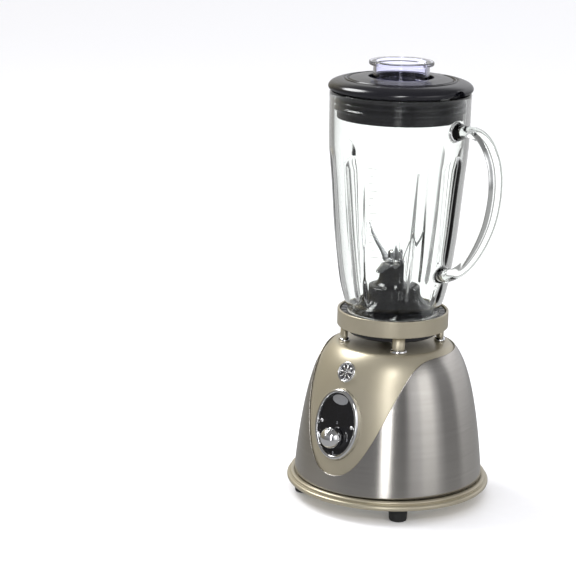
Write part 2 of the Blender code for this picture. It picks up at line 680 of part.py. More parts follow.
def build_coils():
    """Each coil is a flat ring round one pole, standing in the slots."""
    clear = 0.0005
    inner = (2.0 * (POLE_HALF_WIDTH + clear), STACK_HEIGHT + 2.0 * clear)
    outer = (inner[0] + 2.0 * COIL_WIDTH, inner[1] + 2.0 * COIL_WIDTH)
    start = ARMATURE_RADIUS + AIR_GAP + 0.0012
    thickness = 0.0092
    outlines = [rounded_box(*outer, 0.005), rounded_box(*inner, 0.001, 1)]
    for name, side in (("field_coil_left", -1.0), ("field_coil_right", 1.0)):
        plate(name, outlines, thickness, "copper_wire", BODY,
              location=(side * (start + 0.5 * thickness), 0.0, STACK_BOTTOM + 0.5 * STACK_HEIGHT),
              turn=(0.5 * math.pi, 0.0, 0.5 * math.pi))


def bracket(name, level, foot, foot_end, stand_end):
    """A cross with a bearing hub, two legs to the stator and, when asked, four stand-offs."""
    arm = 0.5 * STATOR_SIZE[1] - 0.0010
    hub = turned(name, pipe(BEARING_RADIUS + 0.0035, BEARING_RADIUS + GAP, level + 0.0040,
                            level - 0.0040), "zinc_steel", BODY, steps=24)
    cut = BEARING_RADIUS + 0.0015
    long = arm - cut
    for number, angle in enumerate(around(4), start=1):
        spot = at(cut + 0.5 * long, angle, level)
        arm_box = box(f"{name}_arm_{number}", (long, 0.0100, 0.0040), None, BODY, location=spot,
                      turn=(0.0, 0.0, angle))
        boolean(hub, arm_box, "UNION")
        if stand_end is not None:
            post = turned(f"{name}_stand_{number}", pipe(0.0035, 0.0, stand_end, level), None, BODY,
                          steps=10, location=at(arm - 0.0045, angle))
            boolean(hub, post, "UNION")
    for number, side in enumerate((1.0, -1.0), start=1):
        high = max(foot, foot_end)
        low = min(foot, foot_end)
        leg = box(f"{name}_leg_{number}", (0.0080, 0.0050, high - low), None, BODY,
                  location=(0.0, side * (arm - 0.0030), 0.5 * (high + low)))
        boolean(hub, leg, "UNION")


def build_brackets():
    bracket("upper_motor_bracket", BRACKET_Z, BRACKET_Z, STACK_TOP + GAP, DOME_UNDERSIDE - GAP)
    bracket("lower_motor_bracket", LOWER_BRACKET_Z, LOWER_BRACKET_Z, STACK_BOTTOM - GAP, None)
    race = SHAFT_RADIUS + GAP
    for name, level in (("upper_bearing", BRACKET_Z), ("lower_bearing", LOWER_BRACKET_Z)):
        half = 0.5 * BEARING_HEIGHT
        turned(name, pipe(BEARING_RADIUS, race, level + half, level - half), "chrome", BODY, steps=24)


def build_rotor():
    shaft = pipe(SHAFT_RADIUS, 0.0, SHAFT_TOP, SHAFT_BOTTOM)
    turned("motor_shaft", shaft, "zinc_steel", ROTOR)
    bore = SHAFT_RADIUS + GAP
    turned("armature_core", pipe(ARMATURE_RADIUS, bore, STACK_TOP, STACK_BOTTOM), "lamination_steel",
           ROTOR, steps=24)
    top = STACK_BOTTOM - 0.0095
    turned("commutator", pipe(COMMUTATOR_RADIUS, bore, top, top - 0.0100), "copper_wire", ROTOR,
           steps=24)


def build_brushes():
    """Two carbon blocks on the commutator, each in a channel on the lower bracket."""
    level = STACK_BOTTOM - 0.0155
    half_width = 0.0032
    length = 0.0100
    for name, side in (("left", -1.0), ("right", 1.0)):
        start = COMMUTATOR_RADIUS + 2.0 * GAP
        box(f"carbon_brush_{name}", (length, 2.0 * half_width, 2.0 * half_width), "carbon", BODY,
            location=(side * (start + 0.5 * length), 0.0, level))
        holder_start = start + 0.0020
        holder_length = 0.0120
        spot = (side * (holder_start + 0.5 * holder_length), 0.0, level)
        holder = box(f"brush_holder_{name}", (holder_length, 0.0110, 0.0110), "bronze", BODY,
                     location=spot)
        hole = 2.0 * (half_width + GAP)
        boolean(holder, box(f"brush_channel_{name}", (0.0400, hole, hole), None, BODY, location=spot))


def build_fan():
    """A hub and disc with radial blades under the lower bracket."""
    top = LOWER_BRACKET_Z - 0.0070
    thickness = 0.0015
    fan = turned("cooling_fan", [(FAN_RADIUS, top), (FAN_RADIUS, top - thickness),
                                 (0.0085, top - thickness), (0.0085, top - 0.0090),
                                 (SHAFT_RADIUS + GAP, top - 0.0090), (SHAFT_RADIUS + GAP, top)],
                 "black_plastic", ROTOR, steps=28)
    inner = 0.0070
    length = FAN_RADIUS - 0.0010 - inner
    for number, angle in enumerate(around(FAN_BLADES), start=1):
        spot = at(inner + 0.5 * length, angle, top - 0.0040)
        blade = box(f"fan_blade_{number}", (length, 0.0012, 0.0070), None, ROTOR, location=spot,
                    turn=(0.0, 0.0, angle))
        boolean(fan, blade, "UNION")


def build_couplings():
    """The lobed driver on the motor shaft and the socket under the blades that drops over it."""
    bore = SHAFT_RADIUS + GAP
    base = pipe(DRIVE_RADIUS + 0.0040, bore, COUPLING_STEP, COUPLING_BOTTOM)
    driver = turned("drive_coupling", base, "black_rubber", ROTOR, steps=24)
    height = COUPLING_TOP - COUPLING_STEP + 0.0020
    star = plate("drive_star", [lobed(DRIVE_RADIUS + 0.0006, DRIVE_LOBE_DEPTH, DRIVE_LOBES)], height,
                 None, ROTOR, location=(0.0, 0.0, COUPLING_TOP - 0.5 * height))
    boolean(driver, star, "UNION")
    pin = pipe(bore, 0.0, SHAFT_TOP + GAP, COUPLING_BOTTOM - 0.005)
    boolean(driver, turned("drive_bore", pin, None, ROTOR))
    foot = COUPLING_STEP + 0.0012
    top = COUPLING_TOP + 0.0060
    shaft_bore = BLADE_SHAFT_RADIUS + GAP
    outer = DRIVE_RADIUS + 0.0062
    socket = turned("jar_coupling", pipe(outer, shaft_bore, top, foot), "black_rubber", BLADES, steps=24)
    depth = COUPLING_TOP + 0.0008 - foot + 0.0050
    grow = DRIVE_RADIUS + 0.0006 + DRIVE_PLAY
    hole = plate("socket_star", [lobed(grow, DRIVE_LOBE_DEPTH, DRIVE_LOBES)], depth, None, BLADES,
                 location=(0.0, 0.0, foot - 0.0050 + 0.5 * depth))
    boolean(socket, hole)


# ---------------------------------------------------------------------------------------------------
# Collar: posts, washers, ring and jar seat
# ---------------------------------------------------------------------------------------------------


def build_posts():
    post_foot = DOME_TOP + GAP + WASHER_HEIGHT + GAP
    post_height = COLLAR_BOTTOM - GAP - post_foot
    washer_outlines = [oval(*WASHER_HALF, 20), oval(SPIGOT_RADIUS + GAP, SPIGOT_RADIUS + GAP, 10)]
    spigot = pipe(SPIGOT_RADIUS, 0.0, post_foot + 0.0020, DOME_UNDERSIDE - 0.0040)
    for number, angle in enumerate(around(4, 45.0), start=1):
        facing = (0.0, 0.0, angle)
        plate(f"post_washer_{number}", washer_outlines, WASHER_HEIGHT, "chrome", BODY,
              location=at(POST_CIRCLE, angle, DOME_TOP + GAP + 0.5 * WASHER_HEIGHT), turn=facing)
        post = plate(f"collar_post_{number}", [oval(*POST_HALF, 20)], post_height, "champagne_paint",
                     BODY, location=at(POST_CIRCLE, angle, post_foot + 0.5 * post_height), turn=facing)
        peg = turned(f"spigot_{number}", spigot, None, BODY, steps=10, location=at(POST_CIRCLE, angle))
        boolean(post, peg, "UNION")


def build_collar():
    edge = 0.0008
    outline = [(COLLAR_RADIUS - edge, COLLAR_TOP), (COLLAR_RADIUS, COLLAR_TOP - edge),
               (COLLAR_RADIUS, COLLAR_BOTTOM + edge), (COLLAR_RADIUS - edge, COLLAR_BOTTOM),
               (COLLAR_BORE - LEDGE, COLLAR_BOTTOM), (COLLAR_BORE - LEDGE, LEDGE_TOP),
               (COLLAR_BORE, LEDGE_TOP), (COLLAR_BORE, COLLAR_TOP)]
    turned("collar_ring", outline, "champagne_paint", BODY, steps=ROUND)
    inner = SEAT_RADIUS - SEAT_WALL
    flange_bottom = LEDGE_TOP + GAP
    floor = SEAT_BOTTOM + 0.0020
    seat = [(COLLAR_BORE - GAP, SEAT_FLANGE_TOP), (COLLAR_BORE - GAP, flange_bottom),
            (SEAT_RADIUS, flange_bottom), (SEAT_RADIUS, SEAT_BOTTOM), (SEAT_HOLE, SEAT_BOTTOM),
            (SEAT_HOLE, floor), (inner, floor), (inner, SEAT_FLANGE_TOP)]
    turned("jar_seat", seat, "black_plastic", BODY, steps=ROUND)


# ---------------------------------------------------------------------------------------------------
# Jar: glass with its handle, screw collar, blade housing, gasket and blades
# ---------------------------------------------------------------------------------------------------

JAR_SHAPE = ((0.000, 0.000), (0.018, 0.036), (0.031, 0.091), (0.067, 0.214), (0.137, 0.373),
             (0.231, 0.505), (0.369, 0.659), (0.508, 0.768), (0.597, 0.836), (0.730, 0.950),
             (0.824, 0.982), (1.000, 1.000))    # shares of the height and of the flare of the wall


def jar_wall_points(steps):
    """The jar's outside as (radius, height) points from the foot up to the rim."""
    flare = JAR_MOUTH_RADIUS - JAR_FOOT_RADIUS
    shares = smooth_through(JAR_SHAPE, steps)
    return [(JAR_FOOT_RADIUS + flare * width, JAR_BOTTOM + JAR_HEIGHT * rise) for rise, width in shares]


def jar_radius(height):
    points = np.array(jar_wall_points(6))
    return float(np.interp(height, points[:, 1], points[:, 0]))


def flute_depth(angle, height):
    """How far the wall is pressed in: a smooth trough at each flute, ending in a rounded top."""
    share = (height - JAR_BOTTOM) / JAR_HEIGHT
    foot = min(max((share - 0.060) / 0.050, 0.0), 1.0)
    crown = min(max((FLUTE_TOP - share) / 0.060, 0.0), 1.0)
    if foot == 0.0 or crown == 0.0:
        return 0.0
    spread = FLUTE_HALF_ANGLE[0] + (FLUTE_HALF_ANGLE[1] - FLUTE_HALF_ANGLE[0]) * share / FLUTE_TOP
    spread *= math.sqrt(1.0 - (1.0 - crown) ** 2)
    pitch = 2.0 * math.pi / FLUTES
    across = abs((angle + 0.5 * pitch) % pitch - 0.5 * pitch) / spread
    if across >= 1.0:
        return 0.0
    return FLUTE_DEPTH * foot * crown ** 0.5 * (1.0 - across ** 2)


def build_jar_wall():
    """The glass wall: a turned surface pressed in at the flutes and thickened inwards."""
    pitch = 2.0 * math.pi / FLUTES
    wide = FLUTE_HALF_ANGLE[1]
    offsets = [wide * share for share in (-1.0, -0.5, 0.0, 0.5, 1.0)] + [0.5 * pitch]
    angles = [pitch * flute + offset for flute in range(FLUTES) for offset in offsets]
    points = jar_wall_points(1)
    shape = bmesh.new()
    columns = []
    for angle in angles:
        radii = [radius - flute_depth(angle, height) for radius, height in points]
        columns.append([shape.verts.new(at(r, angle, z)) for r, (_, z) in zip(radii, points)])
    for column, following in zip(columns, columns[1:] + columns[:1]):
        for row in range(len(points) - 1):
            shape.faces.new((column[row], following[row], following[row + 1], column[row + 1]))
    mesh = bpy.data.meshes.new("glass_jar")
    shape.to_mesh(mesh)
    shape.free()
    mesh.shade_smooth()
    jar = place("glass_jar", mesh, "clear_glass", JAR)
    solidify = jar.modifiers.new("wall", "SOLIDIFY")
    solidify.thickness = JAR_WALL
    solidify.offset = -1.0
    return jar


HANDLE_ROUTE = ((0.00, 0.854), (0.28, 0.861), (0.50, 0.859), (0.68, 0.840), (0.83, 0.799),
                (0.955, 0.733), (1.00, 0.653), (0.98, 0.567), (0.905, 0.477), (0.77, 0.389),
                (0.61, 0.314), (0.43, 0.254), (0.25, 0.219), (0.08, 0.209), (0.00, 0.208))
# shares of the reach beyond the wall and of the jar's height, from the upper root to the lower one


def handle_path():
    """The handle's centre line in the plane of +X, from inside the wall to inside the wall."""
    outermost = HANDLE_REACH - HANDLE_HALF[0]
    first = JAR_BOTTOM + JAR_HEIGHT * HANDLE_ROUTE[0][1]
    last = JAR_BOTTOM + JAR_HEIGHT * HANDLE_ROUTE[-1][1]
    upper_root = jar_radius(first) - 0.45 * JAR_WALL
    lower_root = jar_radius(last) - FLUTE_DEPTH - 0.25 * JAR_WALL
    path = []
    for reach, rise in HANDLE_ROUTE:
        height = JAR_BOTTOM + JAR_HEIGHT * rise
        root = lower_root + (upper_root - lower_root) * (height - last) / (first - last)
        path.append((root + (outermost - root) * reach, height))
    return smooth_through(path, 2)


def build_handle(jar):
    """An oval bar swept along the handle's centre line and fused with the wall."""
    section_curve = bpy.data.curves.new("handle_section", "CURVE")
    section_curve.dimensions = "2D"
    section = section_curve.splines.new("POLY")
    outline = oval(HANDLE_HALF[1], HANDLE_HALF[0], 10)
    section.points.add(len(outline) - 1)
    for point, (x, y) in zip(section.points, outline):
        point.co = (x, y, 0.0, 1.0)
    section.use_cyclic_u = True
    profile = bpy.data.objects.new("handle_section", section_curve)
    CUTTERS.objects.link(profile)
    profile.hide_render = True
    curve = bpy.data.curves.new("jar_handle", "CURVE")
    curve.dimensions = "3D"
    curve.twist_mode = "MINIMUM"
    curve.bevel_mode = "OBJECT"
    curve.bevel_object = profile
    curve.use_fill_caps = True
    spline = curve.splines.new("POLY")
    path = handle_path()
    spline.points.add(len(path) - 1)
    for point, (radius, height) in zip(spline.points, path):
        point.co = (radius, 0.0, height, 1.0)
    handle = place("jar_handle", mesh_from_curve("jar_handle", curve), None, JAR)
    boolean(jar, handle, "UNION")


def build_jar_collar():
    """The screw collar that clamps the blade housing and its gasket to the foot of the glass."""
    lower = SEAT_RADIUS - SEAT_WALL - 3.0 * GAP
    upper = COLLAR_BORE - 2.0 * GAP
    flange = SEAT_FLANGE_TOP + GAP
    bore = lower - SEAT_WALL
    outline = [(upper - 0.0010, JAR_COLLAR_TOP), (upper, JAR_COLLAR_TOP - 0.0010), (upper, flange),
               (lower, flange), (lower, JAR_COLLAR_BOTTOM), (bore, JAR_COLLAR_BOTTOM),
               (bore, JAR_COLLAR_FLOOR), (JAR_COLLAR_BORE, JAR_COLLAR_FLOOR),
               (JAR_COLLAR_BORE, JAR_COLLAR_TOP)]
    turned("jar_collar", outline, "black_plastic", JAR, steps=ROUND)
    return bore


def build_blade_housing(boss):
    """The black hub that rises into the jar, with the pocket for the coupling under it."""
    flange = JAR_COLLAR_BORE - GAP
    neck = JAR_FOOT_RADIUS - JAR_WALL - 0.0012
    column = 0.0130
    pocket = 0.0140
    bore = BLADE_SHAFT_RADIUS + GAP
    pocket_top = COUPLING_TOP + 0.0085
    foot = JAR_COLLAR_BOTTOM + 0.0030
    outline = [(column, HOUSING_TOP), (column + 0.0012, HOUSING_SHOULDER + 0.0060),
               (column + 0.0050, HOUSING_SHOULDER + 0.0008), (0.0235, HOUSING_SHOULDER),
               (0.0245, JAR_BOTTOM + 0.0147), (neck - 0.0020, JAR_BOTTOM + 0.0047),
               (neck, JAR_BOTTOM + 0.0017), (neck, HOUSING_FLANGE_TOP), (flange, HOUSING_FLANGE_TOP),
               (flange, JAR_COLLAR_FLOOR + GAP), (boss - GAP, JAR_COLLAR_FLOOR + GAP),
               (boss - GAP, foot), (pocket, foot), (pocket, pocket_top), (bore, pocket_top),
               (bore, HOUSING_TOP)]
    turned("blade_housing", outline, "black_plastic", JAR, steps=ROUND)
    turned("jar_gasket", pipe(flange, neck + GAP, GASKET_TOP, HOUSING_FLANGE_TOP + GAP), "silicone", JAR,
           steps=ROUND)


def blade_strip(name, level, profile, heading):
    """A bent strip across the shaft: (reach, rise, half width) rows, mirrored to the other side."""
    rows = [(-reach, rise, half) for reach, rise, half in reversed(profile[1:])] + list(profile)
    shape = bmesh.new()
    pairs = []
    for x, rise, half in rows:
        pairs.append([shape.verts.new((x, side * half, level + rise)) for side in (-1.0, 0.0, 1.0)])
    for pair, following in zip(pairs, pairs[1:]):
        for side in (0, 1):
            shape.faces.new((pair[side], following[side], following[side + 1], pair[side + 1]))
    mesh = bpy.data.meshes.new(name)
    shape.to_mesh(mesh)
    shape.free()
    blade = place(name, mesh, "chrome", BLADES, turn=(0.0, 0.0, heading))
    solidify = blade.modifiers.new("sheet", "SOLIDIFY")
    solidify.thickness = BLADE_THICKNESS
    solidify.offset = 1.0
    shaft = pipe(BLADE_SHAFT_RADIUS + GAP, 0.0, level + 0.0100, level - 0.0100)
    boolean(blade, turned(name + "_hole", shaft, None, BLADES))


def build_blades():
    lower = HOUSING_TOP + 0.0010
    upper = lower + BLADE_THICKNESS + 2.0 * GAP
    drooping = [(0.0, 0.0, 0.0085), (0.0090, 0.0, 0.0080), (0.0140, -0.0010, 0.0062),
                (0.0200, -0.0030, 0.0050), (0.0250, -0.0050, 0.0034),
                (0.87 * BLADE_REACH, -0.0056, 0.0012)]
    rising = [(0.0, 0.0, 0.0080), (0.0075, 0.0, 0.0072), (0.0110, 0.12 * BLADE_LIFT, 0.0052),
              (0.0145, 0.27 * BLADE_LIFT, 0.0044), (0.0185, 0.42 * BLADE_LIFT, 0.0038),
              (0.0228, 0.60 * BLADE_LIFT, 0.0031), (0.0266, 0.79 * BLADE_LIFT, 0.0020),
              (BLADE_REACH, BLADE_LIFT, 0.0006)]
    blade_strip("blade_lower", lower, drooping, math.radians(93.0))
    blade_strip("blade_upper", upper, rising, math.radians(3.0))
    nut_foot = upper + BLADE_THICKNESS + 2.0 * GAP
    shaft_top = nut_foot + 0.0090
    nut_height = 0.0080
    bore = BLADE_SHAFT_RADIUS + GAP
    plate("blade_nut", [oval(0.0064, 0.0064, 6), oval(bore, bore, 12)], nut_height, "zinc_steel", BLADES,
          location=(0.0, 0.0, nut_foot + 0.5 * nut_height))
    shaft_foot = COUPLING_TOP + 0.0012
    turned("blade_shaft", pipe(BLADE_SHAFT_RADIUS, 0.0, shaft_top, shaft_foot), "chrome", BLADES,
           steps=12)


# ---------------------------------------------------------------------------------------------------
# Lid and filler cap
# ---------------------------------------------------------------------------------------------------


def build_lid():
    brim = LID_BRIM_RADIUS
    ridge = LID_RIDGE_RADIUS
    skirt = ridge - 0.0023
    inner = skirt - LID_WALL
    ceiling = LID_TOP - 0.0042
    well_wall = WELL_RADIUS + LID_WALL
    outline = [(WELL_RADIUS, LID_TOP), (brim - 0.0200, LID_TOP - 0.0022), (brim - 0.0180, LID_TOP - 0.0030),
               (brim - 0.0155, LID_TOP - 0.0024), (brim - 0.0100, LID_TOP - 0.0028),
               (brim - 0.0040, LID_TOP - 0.0044), (brim - 0.0008, LID_TOP - 0.0068),
               (brim, LID_TOP - 0.0090), (brim - 0.0012, LID_TOP - 0.0115),
               (brim - 0.0030, BRIM_BOTTOM), (ridge, BRIM_BOTTOM), (ridge, JAR_TOP - 0.0050),
               (skirt, JAR_TOP - 0.0068), (ridge, JAR_TOP - 0.0085), (skirt, JAR_TOP - 0.0108),
               (ridge, JAR_TOP - 0.0130), (skirt, JAR_TOP - 0.0150), (skirt, LID_SKIRT_BOTTOM),
               (inner, LID_SKIRT_BOTTOM), (inner, ceiling - 0.0050), (inner - 0.0050, ceiling),
               (well_wall, ceiling), (well_wall, WELL_FLOOR - LID_WALL),
               (WELL_RADIUS - WELL_LEDGE, WELL_FLOOR - LID_WALL), (WELL_RADIUS - WELL_LEDGE, WELL_FLOOR),
               (WELL_RADIUS, WELL_FLOOR)]
    lid = turned("lid", outline, "black_plastic", LID, steps=ROUND)
    reach = 0.0120
    grip = turned("finger_grip", pipe(0.0110, 0.0, brim + reach, ridge + 0.0012), None, LID,
                  location=(0.0, 0.0, BRIM_BOTTOM - 0.0045), turn=(0.0, 0.5 * math.pi, 0.0))
    boolean(lid, grip)


def build_filler_cap():
    body = WELL_RADIUS - 0.0035
    plug = WELL_RADIUS - WELL_LEDGE - 0.0005
    flange_bottom = LID_TOP + CAP_LIFT
    top = flange_bottom + CAP_FLANGE_HEIGHT
    rest = WELL_FLOOR + GAP
    outline = [(0.0, CAP_BOTTOM + CAP_WALL), (plug - CAP_WALL, CAP_BOTTOM + CAP_WALL),
               (plug - CAP_WALL, rest + CAP_WALL), (body - CAP_WALL, rest + 2.0 * CAP_WALL),
               (body - CAP_WALL, top), (CAP_FLANGE_RADIUS - 0.0006, top),
               (CAP_FLANGE_RADIUS, top - 0.0008), (CAP_FLANGE_RADIUS, flange_bottom + 0.0006),
               (CAP_FLANGE_RADIUS - 0.0006, flange_bottom), (body, flange_bottom), (body, rest),
               (plug, rest), (plug, CAP_BOTTOM), (0.0, CAP_BOTTOM)]
    turned("filler_cap", outline, "clear_plastic", LID, steps=ROUND)


def main():
    build_feet()
    build_base_ring()
    build_bottom_plate()
    cover = build_dome_cover()
    wrap = build_steel_wrap()
    build_cord_grommet(cover, wrap)
    build_badge()
    build_bezel()
    build_panel()
    build_knob()
    build_switch()
    build_stator()
    build_coils()
    build_brackets()
    build_rotor()
    build_brushes()
    build_fan()
    build_couplings()
    build_posts()
    build_collar()
    build_handle(build_jar_wall())
    build_blade_housing(build_jar_collar())
    build_blades()
    build_lid()
    build_filler_cap()


main()
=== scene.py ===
# %% [markdown]
# # A countertop blender with a glass jar
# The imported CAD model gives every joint, level and clearance. This lesson lays finer surfaces
# over it: a numpy array of points for each piece, worked out from one formula, and a node
# material for each finish. Nothing is moved by hand; every position comes from the frame.

# %% Load the frame
import json
import math

import bmesh
import bpy
import numpy as np
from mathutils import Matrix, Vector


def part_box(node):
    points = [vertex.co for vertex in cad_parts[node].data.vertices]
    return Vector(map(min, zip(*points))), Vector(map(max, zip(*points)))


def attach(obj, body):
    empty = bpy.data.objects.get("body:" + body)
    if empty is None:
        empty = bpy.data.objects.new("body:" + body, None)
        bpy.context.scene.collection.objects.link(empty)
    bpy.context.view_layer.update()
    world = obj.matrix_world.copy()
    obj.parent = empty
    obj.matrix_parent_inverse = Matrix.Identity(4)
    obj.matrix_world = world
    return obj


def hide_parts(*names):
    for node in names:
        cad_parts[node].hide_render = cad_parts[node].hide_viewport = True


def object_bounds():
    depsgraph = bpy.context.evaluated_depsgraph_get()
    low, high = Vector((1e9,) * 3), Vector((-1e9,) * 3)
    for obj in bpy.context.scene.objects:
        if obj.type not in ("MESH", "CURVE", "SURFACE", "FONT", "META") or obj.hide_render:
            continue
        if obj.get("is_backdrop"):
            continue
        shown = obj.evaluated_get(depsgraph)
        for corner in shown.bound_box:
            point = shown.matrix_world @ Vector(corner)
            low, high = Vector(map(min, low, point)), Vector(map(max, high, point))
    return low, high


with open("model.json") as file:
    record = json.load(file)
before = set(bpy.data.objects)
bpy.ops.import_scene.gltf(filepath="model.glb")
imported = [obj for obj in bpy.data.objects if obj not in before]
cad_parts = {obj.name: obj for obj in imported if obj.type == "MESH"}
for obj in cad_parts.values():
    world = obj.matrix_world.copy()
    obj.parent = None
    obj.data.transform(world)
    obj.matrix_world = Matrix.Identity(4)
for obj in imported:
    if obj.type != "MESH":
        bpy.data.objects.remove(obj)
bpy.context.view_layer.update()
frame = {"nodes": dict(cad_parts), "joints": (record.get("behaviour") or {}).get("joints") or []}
scene = bpy.context.scene

# %% [markdown]
# ## The levels of the object
# A maker reads heights and radii from a drawing. Here the drawing is the frame: the box of a
# node gives its top, foot and radius, and a joint gives the knob's axis. The few shape
# numbers that a box can't give, such as how full the dome is, stand beside it.

# %% Levels, radii and axes


def node_box(name):
    """The lowest and highest corner of a CAD node, as arrays."""
    low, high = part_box(name)
    return np.array(low), np.array(high)


def radius_of(name):
    """Half the width of a turned node, which is its outer radius."""
    low, high = node_box(name)
    return 0.5 * (high[1] - low[1])


COLLAR_LOW, COLLAR_HIGH = node_box("collar_ring")
AXIS = np.array([0.5 * (COLLAR_LOW[0] + COLLAR_HIGH[0]), 0.0])
RING_BOTTOM, RING_TOP = node_box("base_ring")[0][2], node_box("base_ring")[1][2]
RING_RADIUS = radius_of("base_ring")
DOME_BOTTOM = node_box("steel_wrap")[0][2]
DOME_RADIUS = radius_of("steel_wrap")
DOME_TOP = node_box("dome_cover")[1][2]
DOME_HEIGHT = DOME_TOP - DOME_BOTTOM
COLLAR_RADIUS = radius_of("collar_ring")
DOME_TOP_RADIUS = COLLAR_RADIUS + 0.0035
JAR_BOTTOM, JAR_TOP = node_box("glass_jar")[0][2], node_box("glass_jar")[1][2]
JAR_HEIGHT = JAR_TOP - JAR_BOTTOM
JAR_MOUTH = AXIS[0] - node_box("glass_jar")[0][0]
HANDLE_REACH = node_box("glass_jar")[1][0] - AXIS[0]
JAR_FOOT = 0.0414
JAR_WALL = 0.0040
JOINTS = {joint["name"]: joint for joint in frame["joints"]}
KNOB_AT = np.array(JOINTS["knob_turn"]["pos_m"])
PANEL_OUT = np.array(JOINTS["knob_turn"]["axis"])
PANEL_RIGHT = np.array([1.0, 0.0, 0.0])
PANEL_UP = np.cross(PANEL_OUT, PANEL_RIGHT)
PANEL_RECESS = 0.0025
KNOB_UP = -0.01214
PANEL_AT = KNOB_AT - KNOB_UP * PANEL_UP + PANEL_RECESS * PANEL_OUT
print("axis", AXIS.round(5), "dome", round(DOME_RADIUS, 4), "jar mouth", round(JAR_MOUTH, 4))

# %% [markdown]
# ## Tools for surfaces
# Nearly every piece is turned, pressed or swept, so one grid of points covers each of them.
# A lathe turns an outline round an axis; an oval frame is the same outline carried round an
# ellipse. Corners are rounded in the outline itself, because real edges catch the light.

# %% Curves in the plane


def rounded(corners, radii, steps=5):
    """Rounds an outline's corners. Each corner C becomes (1-t)^2 A + 2t(1-t) C + t^2 B, with A and B
    on its two sides, a radius away. One more point beyond A and B keeps the flat sides flat."""
    c = np.array(corners, float)
    reach = np.broadcast_to(np.asarray(radii, float), len(c))[:, None]
    ends = []
    for shift in (1, -1):
        side = np.roll(c, shift, 0) - c
        length = np.linalg.norm(side, axis=1, keepdims=True)
        for distance in (np.minimum(reach, 0.40 * length), np.minimum(1.3 * reach, 0.48 * length)):
            ends.append(c + side / length * distance)
    a, a_far, b, b_far = ends
    t = np.linspace(0.0, 1.0, steps)[None, :, None]
    arc = (1 - t) ** 2 * a[:, None] + 2 * t * (1 - t) * c[:, None] + t ** 2 * b[:, None]
    return np.concatenate([a_far[:, None], arc, b_far[:, None]], axis=1).reshape(-1, 2)


def smooth_through(points, steps):
    """A Catmull-Rom curve: between two points, the cubic whose slopes are half the chord between
    the neighbours."""
    p = np.array(points, float)
    q = np.vstack([2 * p[0] - p[1], p, 2 * p[-1] - p[-2]])
    a, b, c, d = (part[:, None] for part in (q[:-3], q[1:-2], q[2:-1], q[3:]))
    t = np.linspace(0.0, 1.0, steps, endpoint=False)[None, :, None]
    curve = 0.5 * (2 * b + (c - a) * t + (2 * a - 5 * b + 4 * c - d) * t ** 2
                   + (3 * b - a - 3 * c + d) * t ** 3)
    return np.vstack([curve.reshape(-1, p.shape[1]), p[-1:]])


def closed(outline):
    """The outline with its first point again at its end."""
    return np.vstack([outline, outline[:1]])


print("a rounded square has", len(rounded([(0, 0), (1, 0), (1, 1), (0, 1)], 0.1)), "points")

# %% Grids of points


def round_axis(r, a, z, centre=AXIS):
    """Points (r cos a, r sin a, z) about an upright axis."""
    return np.stack([centre[0] + r * np.cos(a), centre[1] + r * np.sin(a), z + 0.0 * a], axis=-1)


def turned(outline, columns=192, centre=AXIS):
    """A lathe: every outline point (r, z) goes a whole turn round the centre."""
    a = np.linspace(0.0, 2.0 * np.pi, columns + 1)[None, :]
    return round_axis(outline[:, :1], a, outline[:, 1:2], centre)


def oval_turned(outline, half, columns=160):
    """An outline of rows (share, offset, height) carried round an ellipse: each row is the ellipse
    shrunk to the share, pushed out by the offset along its normal and raised by the height."""
    a = np.linspace(0.0, 2.0 * np.pi, columns + 1)[None, :]
    normal = np.stack([np.cos(a) / half[0], np.sin(a) / half[1]])
    normal = normal / np.linalg.norm(normal, axis=0)
    share, offset, height = (outline[:, k:k + 1] for k in range(3))
    return np.stack([share * half[0] * np.cos(a) + offset * normal[0],
                     share * half[1] * np.sin(a) + offset * normal[1], height + 0.0 * a], axis=-1)


def set_on(points, at, right, up, out):
    """Points of a local frame carried to the world: at + x right + y up + z out."""
    return at + points[..., :1] * right + points[..., 1:2] * up + points[..., 2:3] * out


def on_panel(points, at=PANEL_AT):
    """Points drawn on the panel's face, carried to the world."""
    return set_on(points, at, PANEL_RIGHT, PANEL_UP, PANEL_OUT)


print("a short tube is a grid of", turned(np.array([(0.01, 0.0), (0.01, 0.02)])).shape[:2], "points")

# %% From grids to meshes and pieces


def skin(name, *grids, inside=None, uv=None):
    """One mesh over grids of points, a face to each cell, without the cells whose corners are all
    inside an opening. Rows or columns that meet are welded, so seams and poles close, and faces
    point outwards. The map runs from 0 to 1, or along the girth and up the side in metres."""
    vertices, quads, maps, start = [], [], [], 0
    for points in grids:
        rows, columns = points.shape[:2]
        index = start + np.arange(rows * columns).reshape(rows, columns)
        quads.append(np.stack([index[:-1, :-1], index[:-1, 1:], index[1:, 1:], index[1:, :-1]],
                              axis=-1).reshape(-1, 4))
        u, v = uv or (np.linspace(0, 1, columns)[None, :], np.linspace(0, 1, rows)[:, None])
        maps.append(np.stack([u + 0.0 * v, v + 0.0 * u], axis=-1).reshape(-1, 2))
        vertices.append(points.reshape(-1, 3))
        start += rows * columns
    faces = np.vstack(quads)
    if inside is not None:
        faces = faces[~inside.reshape(-1)[faces].all(axis=1)]
    mesh = bpy.data.meshes.new(name)
    mesh.from_pydata(np.vstack(vertices), [], faces)
    layer = mesh.uv_layers.new(name="surface")
    layer.data.foreach_set("uv", np.vstack(maps)[faces.reshape(-1)].astype(np.float32).ravel())
    weld(mesh)
    return mesh


def weld(mesh, distance=2e-6):
    """Merges points that coincide, drops faces with no area and turns the rest outwards."""
    work = bmesh.new()
    work.from_mesh(mesh)
    bmesh.ops.remove_doubles(work, verts=work.verts, dist=distance)
    bmesh.ops.dissolve_degenerate(work, edges=work.edges, dist=1e-7)
    bmesh.ops.recalc_face_normals(work, faces=work.faces)
    work.to_mesh(mesh)
    work.free()


